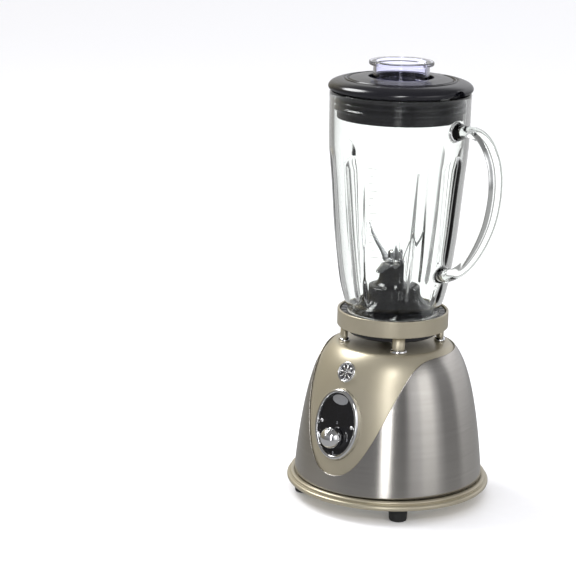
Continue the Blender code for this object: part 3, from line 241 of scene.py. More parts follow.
def piece(name, mesh, finish, body, nodes=()):
    """Adds a mesh as a piece that rides on a body and stands for the named CAD nodes."""
    made = bpy.data.objects.new(name, mesh)
    scene.collection.objects.link(made)
    mesh.shade_smooth()
    mesh.materials.append(finish)
    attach(made, body)
    if nodes:
        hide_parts(*nodes)
    print(f"{name}: {len(mesh.vertices)} points, rides on {body}")
    return made


def settle(made):
    """Turns a piece's modifiers into plain mesh."""
    bpy.context.view_layer.update()
    graph = bpy.context.evaluated_depsgraph_get()
    mesh = bpy.data.meshes.new_from_object(made.evaluated_get(graph))
    made.modifiers.clear()
    made.data = mesh
    return made


def thicken(made, wall):
    """Gives a skin a wall of this thickness on its inner side."""
    solidify = made.modifiers.new("wall", "SOLIDIFY")
    solidify.thickness = wall
    solidify.offset = -1.0
    solidify.use_even_offset = True
    return settle(made)


print("ready to lay skins over", len(frame["nodes"]), "nodes")

# %% [markdown]
# ## Tools for materials
# A finish is a small tree of nodes. One function adds any node with its settings and its
# links; another turns a hex colour, as a paint chart gives it, into the linear light that
# the shader wants. Patterns are sized in millimetres through one more.

# %% Node, colour and scale helpers


def linear(hex_colour):
    """An sRGB hex colour as linear red, green, blue and alpha."""
    srgb = np.array([int(hex_colour[k:k + 2], 16) for k in (1, 3, 5)]) / 255.0
    light = np.where(srgb <= 0.04045, srgb / 12.92, ((srgb + 0.055) / 1.055) ** 2.4)
    return (*light.tolist(), 1.0)


def add(tree, kind, inputs=None, **settings):
    """Adds one node. Each input gets a value, or a link where a socket is given."""
    made = tree.nodes.new("ShaderNode" + kind)
    for name, value in settings.items():
        setattr(made, name, value)
    for name, value in (inputs or {}).items():
        if isinstance(value, bpy.types.NodeSocket):
            tree.links.new(value, made.inputs[name])
        else:
            made.inputs[name].default_value = value
    return made


def per(size_mm):
    """Pattern scale for features of this size, on coordinates in metres."""
    return 1000.0 / size_mm


def finish(name, **sockets):
    """A new material with a Principled shader; constants go straight onto its sockets."""
    made = bpy.data.materials.new(name)
    made.use_nodes = True
    tree = made.node_tree
    tree.nodes.clear()
    shader = add(tree, "BsdfPrincipled", {key.replace("_", " "): value for key, value in sockets.items()})
    add(tree, "OutputMaterial", {"Surface": shader.outputs[0]})
    place = add(tree, "TexCoord").outputs["Object"]
    return made, tree, shader, place


def vary(tree, shader, pattern, socket, low, high, colour=False):
    """Drives a socket from low to high by a pattern from 0 to 1."""
    if colour:
        blend = add(tree, "Mix", {"Factor": pattern, 6: linear(low), 7: linear(high)}, data_type="RGBA")
        tree.links.new(blend.outputs[2], shader.inputs[socket])
    else:
        span = add(tree, "MapRange", {"Value": pattern, "To Min": low, "To Max": high})
        tree.links.new(span.outputs["Result"], shader.inputs[socket])


def roughen(tree, shader, height, depth_mm, strength=1.0):
    """Bumps the surface by a height pattern of this real depth."""
    bump = add(tree, "Bump", {"Height": height, "Distance": depth_mm / 1000.0, "Strength": strength})
    tree.links.new(bump.outputs["Normal"], shader.inputs["Normal"])


def patterned(name, low, high, smooth, rough, size_mm, detail=3.0, bump=None, **sockets):
    """One noise takes colour from low to high and roughness from smooth to rough. Its size is one
    length or a length along each of X, Y and Z; bump is its depth in millimetres and strength."""
    made, tree, shader, place = finish(name, **sockets)
    scale = 1.0
    if isinstance(size_mm, tuple):
        stretch = [per(size) for size in size_mm]
        place = add(tree, "Mapping", {"Vector": place, "Scale": stretch}).outputs[0]
    else:
        scale = per(size_mm)
    spots = add(tree, "TexNoise", {"Vector": place, "Scale": scale, "Detail": detail}).outputs["Fac"]
    vary(tree, shader, spots, "Base Color", low, high, colour=True)
    vary(tree, shader, spots, "Roughness", smooth, rough)
    if bump:
        roughen(tree, shader, spots, *bump)
    return made


print("hex #808080 is", round(linear("#808080")[0], 3), "in linear light")

# %% [markdown]
# ## Painted, brushed and plated metal
# The cover, ring and collar are die castings sprayed with a satin champagne metallic paint:
# aluminium flakes in a tinted binder under a thin clear coat, so highlights are broad and
# creamy and shadows turn olive. The wrap is stainless sheet brushed round its girth; the
# grooves spread light up and down, which gives bands that run the whole height. Small
# fittings are plated: zinc alloy, copper, nickel, then chrome, which is a mirror.

# %% Paint, brushed sheet and plating


def champagne_paint():
    """Sprayed metallic paint: flakes under a thin clear coat glint softly, and a slow cloud in the
    tint keeps large faces from looking printed. The flakes are drawn larger than real ones."""
    made, tree, shader, place = finish("champagne_metallic_paint_sprayed", Metallic=0.68, Roughness=0.36,
                                       Coat_Weight=0.30, Coat_Roughness=0.22)
    flakes = add(tree, "TexVoronoi", {"Vector": place, "Scale": per(0.45)}).outputs["Distance"]
    cloud = add(tree, "TexNoise", {"Vector": place, "Scale": per(26.0), "Detail": 2.0}).outputs["Fac"]
    vary(tree, shader, cloud, "Base Color", "#B0A892", "#BBB39F", colour=True)
    vary(tree, shader, flakes, "Roughness", 0.33, 0.41)
    roughen(tree, shader, flakes, 0.012, 0.20)
    return made


def brushed_stainless():
    """Sheet brushed along its girth: long hairlines stretch each highlight into a tall band, and
    broad faint bands vary its grey. The hairlines are drawn coarser than real ones, to show."""
    made, tree, shader, _ = finish("stainless_steel_brushed", Metallic=1.0, Anisotropic=0.92,
                                   Anisotropic_Rotation=0.25)
    along = add(tree, "UVMap", uv_map="surface").outputs["UV"]
    hairs = add(tree, "Mapping", {"Vector": along, "Scale": (per(38.0), per(0.55), 1.0)})
    streaks = add(tree, "TexNoise", {"Vector": hairs.outputs[0], "Scale": 1.0, "Detail": 5.0,
                                     "Roughness": 0.7}).outputs["Fac"]
    broad = add(tree, "Mapping", {"Vector": along, "Scale": (per(160.0), per(3.0), 1.0)})
    bands = add(tree, "TexNoise", {"Vector": broad.outputs[0], "Scale": 1.0, "Detail": 2.0}).outputs["Fac"]
    vary(tree, shader, streaks, "Roughness", 0.19, 0.29)
    vary(tree, shader, bands, "Base Color", "#BDB9B4", "#CBC8C3", colour=True)
    roughen(tree, shader, streaks, 0.004, 0.12)
    girth = add(tree, "Tangent", direction_type="UV_MAP", uv_map="surface").outputs[0]
    tree.links.new(girth, shader.inputs["Tangent"])
    return made


PAINT = champagne_paint()
STEEL = brushed_stainless()
# Chrome on a zinc casting is a clear mirror, with a slight haze in places from handling.
CHROME = patterned("zinc_casting_chrome_plated", "#E9EAEC", "#F1F1F2", 0.03, 0.09, 7.0, Metallic=1.0)
# Stamped stainless, polished: upright grinding lines soften its reflections.
BLADE_STEEL = patterned("blade_steel_stamped_polished", "#C9CACC", "#DADBDC", 0.10, 0.24,
                        (2.0, 2.0, 0.3), 4.0, (0.008, 0.15), Metallic=1.0)
print("metals:", PAINT.name, STEEL.name, CHROME.name, BLADE_STEEL.name)

# %% [markdown]
# ## Black mouldings, rubber and silicone
# The lid, jar collar and hub are injection moulded ABS. A polished mould leaves the hub and
# the panel glossy; a lightly blasted one leaves the lid satin. The feet and the drive are
# moulded rubber, with a fine dry bloom, and the gasket is milky silicone.

# %% Black and soft finishes


def moulded(name, low, high, smooth, rough, orange_peel_mm, coat=0.0):
    """Moulded plastic: nearly even colour, a roughness that drifts with mould wear and a faint
    orange-peel ripple."""
    made, tree, shader, place = finish(name, IOR=1.53, Coat_Weight=coat, Coat_Roughness=0.05)
    drift = add(tree, "TexNoise", {"Vector": place, "Scale": per(14.0), "Detail": 3.0}).outputs["Fac"]
    peel = add(tree, "TexNoise", {"Vector": place, "Scale": per(orange_peel_mm),
                                  "Detail": 2.0}).outputs["Fac"]
    vary(tree, shader, drift, "Roughness", smooth, rough)
    vary(tree, shader, drift, "Base Color", low, high, colour=True)
    roughen(tree, shader, peel, 0.010, 0.12)
    return made


# Polished mould: nearly black, with clear highlights.
GLOSS_BLACK = moulded("abs_black_gloss_moulded", "#0E0E12", "#141418", 0.06, 0.13, 3.0, coat=0.15)
# Lightly blasted mould: highlights spread into a satin sheen.
SATIN_BLACK = moulded("abs_black_satin_moulded", "#121217", "#18181E", 0.13, 0.21, 1.2)
# Cast acrylic sheet: the flattest and deepest black.
PANEL_BLACK = moulded("acrylic_black_panel_cast", "#0D0D10", "#141417", 0.04, 0.08, 6.0, coat=0.2)
# Nylon from a plain mould: dull and slightly grey.
FAN_BLACK = moulded("nylon_black_fan_moulded", "#1B1B1B", "#242424", 0.42, 0.55, 0.8)
# Rubber is matt, with a fine pitted skin and a slight grey bloom.
RUBBER = patterned("rubber_black_moulded", "#121212", "#1D1D1D", 0.55, 0.78, 0.6, 4.0, (0.03, 0.35),
                   IOR=1.52)
# Silicone has the same dry skin, in milky white.
SILICONE = patterned("silicone_milky_moulded", "#C9C7C0", "#D6D4CE", 0.55, 0.78, 0.9, 4.0, (0.03, 0.35),
                     IOR=1.52)
print("blacks and softs ready")

# %% [markdown]
# ## Glass, clear plastic, enamel and print
# The jar is pressed soda-lime glass: quite clear, IOR 1.52, with soft ripples where the
# mould chilled it. The cap is moulded clear acrylic with a cool cast. Both are true
# dielectrics, so their dark edges come from light that can't get out, as on the real ones.

# %% Clear finishes


def pressed_glass():
    """Clear glass whose faint upright ripples bend what is seen through it."""
    made, tree, shader, place = finish("soda_lime_glass_pressed", Transmission_Weight=1.0, IOR=1.52,
                                       Roughness=0.0, Base_Color=linear("#FCFEFD"))
    ripple = add(tree, "Mapping", {"Vector": place, "Scale": (per(16.0), per(16.0), per(60.0))})
    waves = add(tree, "TexNoise", {"Vector": ripple.outputs[0], "Scale": 1.0, "Detail": 1.0}).outputs["Fac"]
    roughen(tree, shader, waves, 0.25, 0.20)
    return made


def clear_acrylic():
    """Clear plastic with a cool violet cast, a little wavy from the mould."""
    made, tree, shader, place = finish("acrylic_clear_moulded", Transmission_Weight=1.0, IOR=1.49,
                                       Roughness=0.0, Base_Color=linear("#ECECFD"))
    waves = add(tree, "TexNoise", {"Vector": place, "Scale": per(22.0), "Detail": 1.0}).outputs["Fac"]
    roughen(tree, shader, waves, 0.12, 0.15)
    return made


def window_lens():
    """A window silvered behind: a soft grey mirror with a fine stipple under a clear face."""
    made, tree, shader, place = finish("polycarbonate_window_silvered", Metallic=0.55, Coat_Weight=0.6,
                                       Coat_Roughness=0.05)
    dots = add(tree, "TexVoronoi", {"Vector": place, "Scale": per(1.1)}).outputs["Distance"]
    vary(tree, shader, dots, "Base Color", "#9C9D9F", "#8A8B8E", colour=True)
    vary(tree, shader, dots, "Roughness", 0.25, 0.42)
    return made


GLASS = pressed_glass()
ACRYLIC = clear_acrylic()
WINDOW = window_lens()
# Screen-printed ink and fired frit are matt, mottled by the mesh of the screen.
DIAL_INK = patterned("ink_grey_screen_printed", "#85868B", "#9A9BA0", 0.45, 0.60, 0.5, IOR=1.50)
FRIT = patterned("glass_frit_white_fired", "#B4B4B1", "#C6C6C2", 0.45, 0.60, 0.5, IOR=1.50)
# Fired enamel: a dark glassy ground with a clear skin.
ENAMEL = moulded("enamel_charcoal_fired", "#2A2A2E", "#3A3A3F", 0.08, 0.16, 2.0, coat=0.3)
print("clear finishes:", GLASS.name, ACRYLIC.name)

# %% [markdown]
# ## Motor metals
# Inside, nobody polishes anything: zinc plated brackets with a pale blue-yellow cast, a core
# of half-millimetre steel laminations that show as fine lines, coils of enamelled copper
# wire, a copper commutator with its bars, carbon brushes in bronze holders.

# %% Internal finishes


def striped(name, low, high, pitch_mm, axis, metallic, smooth, rough, depth_mm):
    """Metal with lines at a real pitch across one axis, such as laminations or wound wire."""
    made, tree, shader, place = finish(name, Metallic=metallic)
    lines = add(tree, "TexWave", {"Vector": place, "Scale": per(pitch_mm) / 20.0 * math.pi,
                                  "Distortion": 0.3, "Detail": 1.0}, bands_direction=axis)
    vary(tree, shader, lines.outputs["Fac"], "Base Color", low, high, colour=True)
    vary(tree, shader, lines.outputs["Fac"], "Roughness", rough, smooth)
    roughen(tree, shader, lines.outputs["Fac"], depth_mm, 0.6)
    return made


# Plated, ground, pressed and folded stock: each has a soft mottle in colour and gloss.
ZINC = patterned("steel_zinc_plated", "#A9ADB2", "#BDBBAE", 0.24, 0.42, 5.0, 5.0, (0.02, 0.25),
                 Metallic=1.0)
BEARING = patterned("bearing_steel_ground", "#B9BABD", "#C9CACC", 0.12, 0.22, 2.0, 5.0, (0.005, 0.25),
                    Metallic=1.0)
CARBON = patterned("carbon_graphite_pressed", "#1A1A1C", "#2A2A2D", 0.45, 0.65, 0.7, 5.0, (0.02, 0.25),
                   Metallic=0.2)
BRONZE = patterned("bronze_sheet_folded", "#8E6E3C", "#A58247", 0.28, 0.42, 4.0, 5.0, (0.02, 0.25),
                   Metallic=1.0)
# Sheet edges, wound wire and the bars between saw cuts show as lines that catch the light.
LAMINATIONS = striped("silicon_steel_laminated", "#55565A", "#7D7E82", 1.0, "Z", 0.9, 0.32, 0.55, 0.06)
WINDING = striped("copper_wire_enamelled_wound", "#6E3A1B", "#B56A35", 0.9, "Z", 0.9, 0.22, 0.45, 0.12)
BARS = striped("copper_commutator_turned", "#7A4626", "#C58257", 2.4, "Y", 1.0, 0.18, 0.35, 0.10)
print("motor finishes:", ZINC.name, LAMINATIONS.name, WINDING.name, BARS.name)

# %% Finishes for the CAD nodes that stay in view

KEPT_FINISHES = (
    (ZINC, "bottom_plate foot_screw_1 foot_screw_2 foot_screw_3 foot_screw_4 motor_shaft"
           " upper_motor_bracket lower_motor_bracket switch_shaft"),
    (BEARING, "upper_bearing lower_bearing"),
    (LAMINATIONS, "armature_core stator_core"),
    (WINDING, "field_coil_left field_coil_right"),
    (BARS, "commutator"),
    (CARBON, "carbon_brush_left carbon_brush_right"),
    (BRONZE, "brush_holder_left brush_holder_right"),
    (FAN_BLACK, "cooling_fan switch_body"),
    (RUBBER, "drive_coupling jar_coupling"),
    (SILICONE, "jar_gasket"),
)
for material, names in KEPT_FINISHES:
    for name in names.split():
        for material_slot in frame["nodes"][name].material_slots:
            material_slot.material = material
print("finished in place:", sum(len(names.split()) for _, names in KEPT_FINISHES), "nodes")

# %% [markdown]
# ## Feet and base ring
# The ring is a painted casting with two lips and a shadow groove between them, and the dome
# stands in it. Its outline is drawn once and turned. Each foot is a tapered rubber plug.

# %% Ring and feet

lip, top, foot = RING_RADIUS, RING_TOP, RING_BOTTOM
ring_outline = rounded(
    [(lip - 0.0068, top - 0.0004), (lip - 0.0049, top), (lip - 0.0030, top - 0.0002),
     (lip - 0.0023, top - 0.0013), (lip - 0.0029, top - 0.0024), (lip - 0.0033, top - 0.0029),
     (lip - 0.0026, top - 0.0033), (lip - 0.0010, top - 0.0036), (lip, top - 0.0048),
     (lip, foot + 0.0012), (lip - 0.0010, foot), (lip - 0.0260, foot), (lip - 0.0260, foot + 0.003),
     (lip - 0.0130, foot + 0.003), (lip - 0.0125, top - 0.0010), (lip - 0.0068, top - 0.0010)],
    [0.0002, 0.0012, 0.0008, 0.0006, 0.0004, 0.0003, 0.0004, 0.0009, 0.0012, 0.0009, 0.0006, 0.0003,
     0.0003, 0.0003, 0.0003, 0.0001])
piece("ring_moulding", skin("ring_moulding", turned(closed(ring_outline), 256)), PAINT, "base",
      ["base_ring"])

feet = []
for number in range(1, 5):
    low, high = node_box(f"rubber_foot_{number}")
    r, level = 0.5 * (high[0] - low[0]), high[2]
    outline = rounded([(0.0042, 0.0042), (0.0042, 0.0), (0.86 * r, 0.0), (0.93 * r, 0.0018),
                       (r, level - 0.0016), (r, level), (0.0042, level)],
                      [0.0, 0.0006, 0.0014, 0.0004, 0.0005, 0.0004, 0.0])
    feet.append(turned(closed(outline), 64, 0.5 * (low + high)[:2]))
piece("rubber_feet", skin("rubber_feet", *feet), RUBBER, "base",
      [f"rubber_foot_{k}" for k in range(1, 5)])

# %% [markdown]
# ## The dome: painted cover and steel wrap
# The dome is a superellipse-like bell: its radius falls slowly and then rounds into a flat
# top. The wrap lies 1.4 mm proud of the cover, and its upper edge dips at the front in a
# bell curve, which leaves the painted tongue. A grid in angle and height gives both. Where
# the panel and the cord pass through, cells inside the opening are dropped and the points
# next to it are pulled onto its edge.

# %% The bell and the dipping edge

DOME_CROWN, DOME_FULLNESS, DOME_SQUARENESS = 1.058, 1.144, 0.168
COVER_INSET, SHEET, CASTING_WALL = 0.0014, 0.0008, 0.0022
TONGUE_FOOT, SEAM_TOP = DOME_BOTTOM + 0.0150, DOME_TOP - 0.0035
SEAM_SPREAD, SEAM_EASE = math.radians(38.4), 2.5
OPENING_REACH = 0.030       # how far behind its face an opening still counts


def dome_radius(z):
    """The bell: with t the share of the height, g(t) = (1 - (t / 1.058)^1.144)^0.168, and the radius
    goes from the foot's to the top's as (g(t) - g(1)) / (1 - g(1)) goes from 1 to 0."""
    t = np.clip((z - DOME_BOTTOM) / DOME_HEIGHT, 0.0, 1.0)
    share = (1.0 - (t / DOME_CROWN) ** DOME_FULLNESS) ** DOME_SQUARENESS
    least = (1.0 - (1.0 / DOME_CROWN) ** DOME_FULLNESS) ** DOME_SQUARENESS
    return DOME_TOP_RADIUS + (DOME_RADIUS - DOME_TOP_RADIUS) * (share - least) / (1.0 - least)


def dome_point(z, inset):
    """Radius and height of the bell at z, moved in by the inset along its normal."""
    slope = (dome_radius(z + 1e-4) - dome_radius(z - 1e-4)) / 2e-4
    length = np.hypot(1.0, slope)
    return dome_radius(z) - inset / length, z + inset * slope / length


def seam_height(angle):
    """The sheet's edge: from the tongue's foot it climbs as 1 - exp(-(angle / 38.4 degrees)^2.5)."""
    climbed = 1.0 - np.exp(-np.abs(angle / SEAM_SPREAD) ** SEAM_EASE)
    return TONGUE_FOOT + (SEAM_TOP - TONGUE_FOOT) * climbed


def from_front(r, angle, z):
    """Points at a radius and an angle from the front, turning towards the handle."""
    return np.stack([AXIS[0] + r * np.sin(angle), AXIS[1] - r * np.cos(angle), z + 0.0 * angle], axis=-1)


def open_oval(points, at, right, up, half):
    """Pulls the points just inside an oval onto its edge, round the axis of the bell, and tells
    which points were inside it. q is the distance from the oval's centre in its own half sizes."""
    out = np.cross(right, up)
    offset = points - at
    x, y = offset @ right, offset @ up
    q = np.hypot(x / half[0], y / half[1])
    inside = (q < 1.0) & (offset @ out > -OPENING_REACH)
    scale = np.where(inside, 1.0 / np.maximum(q, 1e-3), 1.0)
    moved = set_on(np.stack([x * scale, y * scale, offset @ out], axis=-1), at, right, up, out)
    angle = np.arctan2(moved[..., 0] - AXIS[0], AXIS[1] - moved[..., 1])
    radius = np.hypot(points[..., 0] - AXIS[0], points[..., 1] - AXIS[1])
    radius = radius + dome_radius(moved[..., 2]) - dome_radius(points[..., 2])
    return np.where(inside[..., None], from_front(radius, angle, moved[..., 2]), points), inside


print("dome radius half way up:", round(float(dome_radius(0.5 * (DOME_BOTTOM + DOME_TOP))), 4))

# %% [markdown]
# The dome's grid is square in angle, with rows that close up towards the shoulder, where the
# bell bends most.

# %% Cover and wrap

BEZEL_HALF = np.array([0.0240, 0.03234])
GROMMET_LOW, GROMMET_HIGH = node_box("cord_grommet")
GROMMET_AT = np.array([AXIS[0], DOME_RADIUS, 0.5 * (GROMMET_LOW[2] + GROMMET_HIGH[2])])
CORD_HOLE = np.array([0.0063, 0.0063])
UP = np.array([0.0, 0.0, 1.0])

angles = np.linspace(-np.pi, np.pi, 433)[None, :]
cover_rise = 1.0 - np.linspace(math.sqrt(1.0 - (DOME_HEIGHT - 0.0010) / DOME_HEIGHT), 1.0, 98) ** 2
side_r, side_z = dome_point(DOME_BOTTOM + DOME_HEIGHT * cover_rise, COVER_INSET)
shoulder = rounded([(0.0080, DOME_TOP - 0.002), (0.0080, DOME_TOP), (DOME_TOP_RADIUS - 0.0030, DOME_TOP),
                    (side_r[0], side_z[0])], [0.0, 0.0008, 0.0022, 0.0])[:-1]
cover_outline = np.vstack([shoulder, np.stack([side_r, side_z], axis=-1)])
cover_points = from_front(cover_outline[:, :1], angles, cover_outline[:, 1:])
cover_points, behind_panel = open_oval(cover_points, PANEL_AT, PANEL_RIGHT, PANEL_UP, BEZEL_HALF + 0.0003)
cover_points, behind_cord = open_oval(cover_points, GROMMET_AT, -PANEL_RIGHT, UP, CORD_HOLE)
cover_mesh = skin("cover_shell", cover_points, inside=behind_panel | behind_cord,
                  uv=(DOME_RADIUS * angles, cover_outline[:, 1:]))
cover = piece("cover_shell", cover_mesh, PAINT, "base", ["dome_cover"])
thicken(cover, CASTING_WALL)

edge = seam_height(angles)
climb = np.linspace(0.0, 1.0, 72)[:, None]
wrap_low = np.sqrt(1.0 - (edge - DOME_BOTTOM) / DOME_HEIGHT)
wrap_rise = 1.0 - (wrap_low + (1.0 - wrap_low) * climb) ** 2
wrap_z = DOME_BOTTOM + DOME_HEIGHT * wrap_rise
wrap_points = from_front(dome_radius(wrap_z), angles + 0.0 * wrap_z, wrap_z)
wrap_points, behind_cord = open_oval(wrap_points, GROMMET_AT, -PANEL_RIGHT, UP, CORD_HOLE)
wrap_mesh = skin("wrap_sheet", wrap_points, inside=behind_cord, uv=(DOME_RADIUS * angles, wrap_z))
wrap = piece("wrap_sheet", wrap_mesh, STEEL, "base", ["steel_wrap"])
thicken(wrap, SHEET)

# %% Cord bush

bush_out = GROMMET_HIGH[1]
bush = rounded([(0.0033, bush_out), (0.0074, bush_out), (0.0085, bush_out - 0.0012),
                (0.0085, bush_out - 0.0030), (0.0060, bush_out - 0.0030), (0.0060, bush_out - 0.0085),
                (0.0033, bush_out - 0.0085)], [0.0006, 0.0008, 0.0005, 0.0002, 0.0002, 0.0004, 0.0004])
bush_points = turned(closed(bush), 72, np.zeros(2))
bush_world = np.stack([AXIS[0] + bush_points[..., 0], bush_points[..., 2],
                       GROMMET_AT[2] + bush_points[..., 1]], axis=-1)
piece("cord_bush", skin("cord_bush", bush_world), RUBBER, "base", ["cord_grommet"])

# %% [markdown]
# ## Controls
# An oval plated frame is let into the tongue, with a black acrylic panel set back in it, a
# silvered window at the top, three dome-headed studs and a ball knob. The oval pieces are
# outlines carried round an ellipse in the panel's own frame.

# %% Bezel, panel and window

PANEL_HALF = BEZEL_HALF - 0.0040
bezel_outline = rounded([(-0.0040, -0.0026), (-0.0034, -0.0004), (-0.0026, 0.0), (-0.0010, -0.0002),
                         (0.0, -0.0016), (0.0, -0.0088), (-0.0052, -0.0088), (-0.0052, -0.0048),
                         (-0.0040, -0.0048)],
                        [0.0004, 0.0008, 0.0008, 0.0009, 0.0010, 0.0002, 0.0002, 0.0002, 0.0002])


def oval_rows(outline, share=1.0):
    """An outline of (offset, height) rows for oval_turned, on the full ellipse."""
    return np.column_stack([np.full(len(outline), share), outline])


bezel_points = oval_turned(oval_rows(closed(bezel_outline)), BEZEL_HALF, 220)
piece("bezel_ring", skin("bezel_ring", on_panel(bezel_points)), CHROME, "base", ["panel_bezel"])

panel_rows = np.array([(0.0, 0.0, -0.0027), (0.5, 0.0, -0.00265), (0.97, 0.0, -0.00255),
                       (0.985, 0.0, -0.0026), (0.985, 0.0, -0.0030), (0.985, 0.0, -0.0045),
                       (0.0, 0.0, -0.0045)])
panel_rows[:, 2] = np.minimum(panel_rows[:, 2], -PANEL_RECESS)
piece("panel_face", skin("panel_face", on_panel(oval_turned(panel_rows, PANEL_HALF, 200))), PANEL_BLACK,
      "base", ["control_panel"])

WINDOW_HALF = np.array([0.0088, 0.0046])
window_at = PANEL_AT + (PANEL_HALF[1] - WINDOW_HALF[1] - 0.0012) * PANEL_UP
share = np.linspace(0.0, 1.0, 14)
lens = np.column_stack([share, 0.0 * share, 0.0010 * np.sqrt(1.0 - 0.92 * share ** 2) - 0.0029])
lens = np.vstack([lens, [(1.0, 0.0, -0.0029), (0.0, 0.0, -0.0029)]])
piece("window_lens", skin("window_lens", on_panel(oval_turned(lens, WINDOW_HALF, 96), window_at)), WINDOW,
      "base", ["indicator_window"])

# %% Studs and dial numbers

STUD_RADIUS = 0.00175
stud_reach = PANEL_HALF - STUD_RADIUS - 0.0014
stud_angles = np.array([1.0, 0.0, 1.235]) * np.pi
stud_share = np.linspace(0.0, 1.0, 9)
stud_outline = np.column_stack([STUD_RADIUS * stud_share, 0.0014 * np.sqrt(1.0 - 0.96 * stud_share ** 2)])
stud_outline = np.vstack([stud_outline, [(STUD_RADIUS, -0.0002), (0.0, -0.0002)]])
studs = [on_panel(turned(stud_outline, 40, stud_reach * (math.cos(a), math.sin(a)))
                  - np.array([0.0, 0.0, PANEL_RECESS])) for a in stud_angles]
piece("stud_caps", skin("stud_caps", *studs), CHROME, "base",
      ["panel_stud_1", "panel_stud_2", "panel_stud_3"])


def numeral(character, x, y, height=0.0034):
    """A numeral as a thin mesh printed on the panel: the font's outline, filled and set in place."""
    curve = bpy.data.curves.new("numeral", "FONT")
    curve.body = character
    curve.size = height
    curve.align_x = "CENTER"
    curve.align_y = "CENTER"
    curve.extrude = 0.00003
    holder = bpy.data.objects.new("numeral", curve)
    scene.collection.objects.link(holder)
    bpy.context.view_layer.update()
    mesh = bpy.data.meshes.new_from_object(holder.evaluated_get(bpy.context.evaluated_depsgraph_get()))
    bpy.data.objects.remove(holder)
    bpy.data.curves.remove(curve)
    points = np.empty(3 * len(mesh.vertices))
    mesh.vertices.foreach_get("co", points)
    points = points.reshape(-1, 3) + np.array([x, y, 0.00002 - PANEL_RECESS])
    mesh.vertices.foreach_set("co", on_panel(points).ravel())
    return mesh


def joined(name, meshes):
    """Several meshes as one."""
    work = bmesh.new()
    for mesh in meshes:
        work.from_mesh(mesh)
        bpy.data.meshes.remove(mesh)
    bmesh.ops.remove_doubles(work, verts=work.verts, dist=1e-7)
    bmesh.ops.recalc_face_normals(work, faces=work.faces)
    made = bpy.data.meshes.new(name)
    work.to_mesh(made)
    work.free()
    return made


DIAL = {"2": (0.0, 0.0014), "3": (0.0135, -0.0120), "0": (0.0, -0.0262), "1": (-0.0148, -0.0120)}
numbers = joined("dial_numbers", [numeral(text, *spot) for text, spot in DIAL.items()])
piece("dial_numbers", numbers, DIAL_INK, "base")
numbers.set_sharp_from_angle(angle=math.radians(30.0))

# %% [markdown]
# The knob is a plated ball on a short neck. A pointer groove is pressed into its face: the
# ball's radius is cut down along a narrow band, so the groove is part of the same surface.

# %% Knob

KNOB_RADIUS, KNOB_RISE = 0.00997, 0.0053
fall = np.linspace(0.0, 1.0, 60)
lowest = math.asin((0.0007 - KNOB_RISE) / KNOB_RADIUS)
latitude = (0.5 * np.pi + (lowest - 0.5 * np.pi) * fall)[:, None]
longitude = np.linspace(0.0, 2.0 * np.pi, 161)[None, :]
x = KNOB_RADIUS * np.cos(latitude) * np.cos(longitude)
y = KNOB_RADIUS * np.cos(latitude) * np.sin(longitude)
across = np.clip(1.0 - (x / 0.0009) ** 2, 0.0, 1.0)
along_groove = np.clip((y - 0.0030) / 0.0004, 0.0, 1.0) * np.clip((0.0092 - y) / 0.0004, 0.0, 1.0)
pressed = 1.0 - 0.07 * across ** 0.5 * along_groove
ball = np.stack([x * pressed, y * pressed, KNOB_RISE + KNOB_RADIUS * np.sin(latitude) * pressed], axis=-1)
neck = turned(np.array([(KNOB_RADIUS * math.cos(lowest), 0.0007), (0.0055, 0.0007), (0.0033, 0.0007),
                        (0.0033, 0.0070), (0.0, 0.0070)]), 160, np.zeros(2))
knob_grid = np.concatenate([ball, neck], axis=0)
piece("knob_ball", skin("knob_ball", on_panel(knob_grid, KNOB_AT)), CHROME, "knob",
      ["speed_knob"])

# %% [markdown]
# ## Badge
# A small round badge sits above the panel: a plated rim round a dark enamel disc. Its motif
# is a plain eight-leaf rosette, raised by a formula in radius and angle.

# %% Badge rim and rosette

BADGE_LOW, BADGE_HIGH = node_box("badge")
BADGE_RADIUS = 0.5 * (BADGE_HIGH[0] - BADGE_LOW[0])
badge_z = DOME_TOP - 0.0166
badge_slope = math.atan2(float(dome_radius(badge_z - 0.002) - dome_radius(badge_z + 0.002)), 0.004)
badge_r, badge_h = dome_point(np.array(badge_z), COVER_INSET)
BADGE_AT = np.array([AXIS[0], AXIS[1] - badge_r, badge_h])
BADGE_OUT = np.array([0.0, -math.cos(badge_slope), math.sin(badge_slope)])
BADGE_UP = np.cross(BADGE_OUT, PANEL_RIGHT)
rim = rounded([(0.0076, 0.0012), (0.0082, 0.0019), (0.0090, 0.0019), (BADGE_RADIUS, 0.0012),
               (BADGE_RADIUS, -0.0012), (0.0076, -0.0012)], [0.0002, 0.0005, 0.0005, 0.0006, 0.0002, 0.0002])
piece("badge_rim", skin("badge_rim", set_on(turned(closed(rim), 120, np.zeros(2)), BADGE_AT, PANEL_RIGHT,
                                            BADGE_UP, BADGE_OUT)), CHROME, "base", ["badge"])
disc_r = np.linspace(0.0, 0.0078, 46)[:, None]
disc_a = np.linspace(0.0, 2.0 * np.pi, 241)[None, :]
leaf = np.clip(np.cos(8.0 * disc_a) * 0.5 + 0.5 - np.abs(disc_r / 0.0050 - 0.6) - 0.12, 0.0, 1.0)
ring_line = np.clip(1.0 - np.abs(disc_r - 0.0068) / 0.0004, 0.0, 1.0)
raised = 0.0006 + 0.0009 * np.clip(leaf * 2.5, 0.0, 1.0) + 0.0007 * (disc_r < 0.0009) + 0.0007 * ring_line


def badge_disc(height):
    """A round plate of radius 7.8 mm with this height at each radius and angle, and a flat back."""
    front = round_axis(disc_r, disc_a, height + 0.0 * disc_r, np.zeros(2))
    back = front[::-1] * np.array([1.0, 1.0, 0.0]) - np.array([0.0, 0.0, 0.0010])
    return set_on(np.concatenate([front, back]), BADGE_AT, PANEL_RIGHT, BADGE_UP, BADGE_OUT)


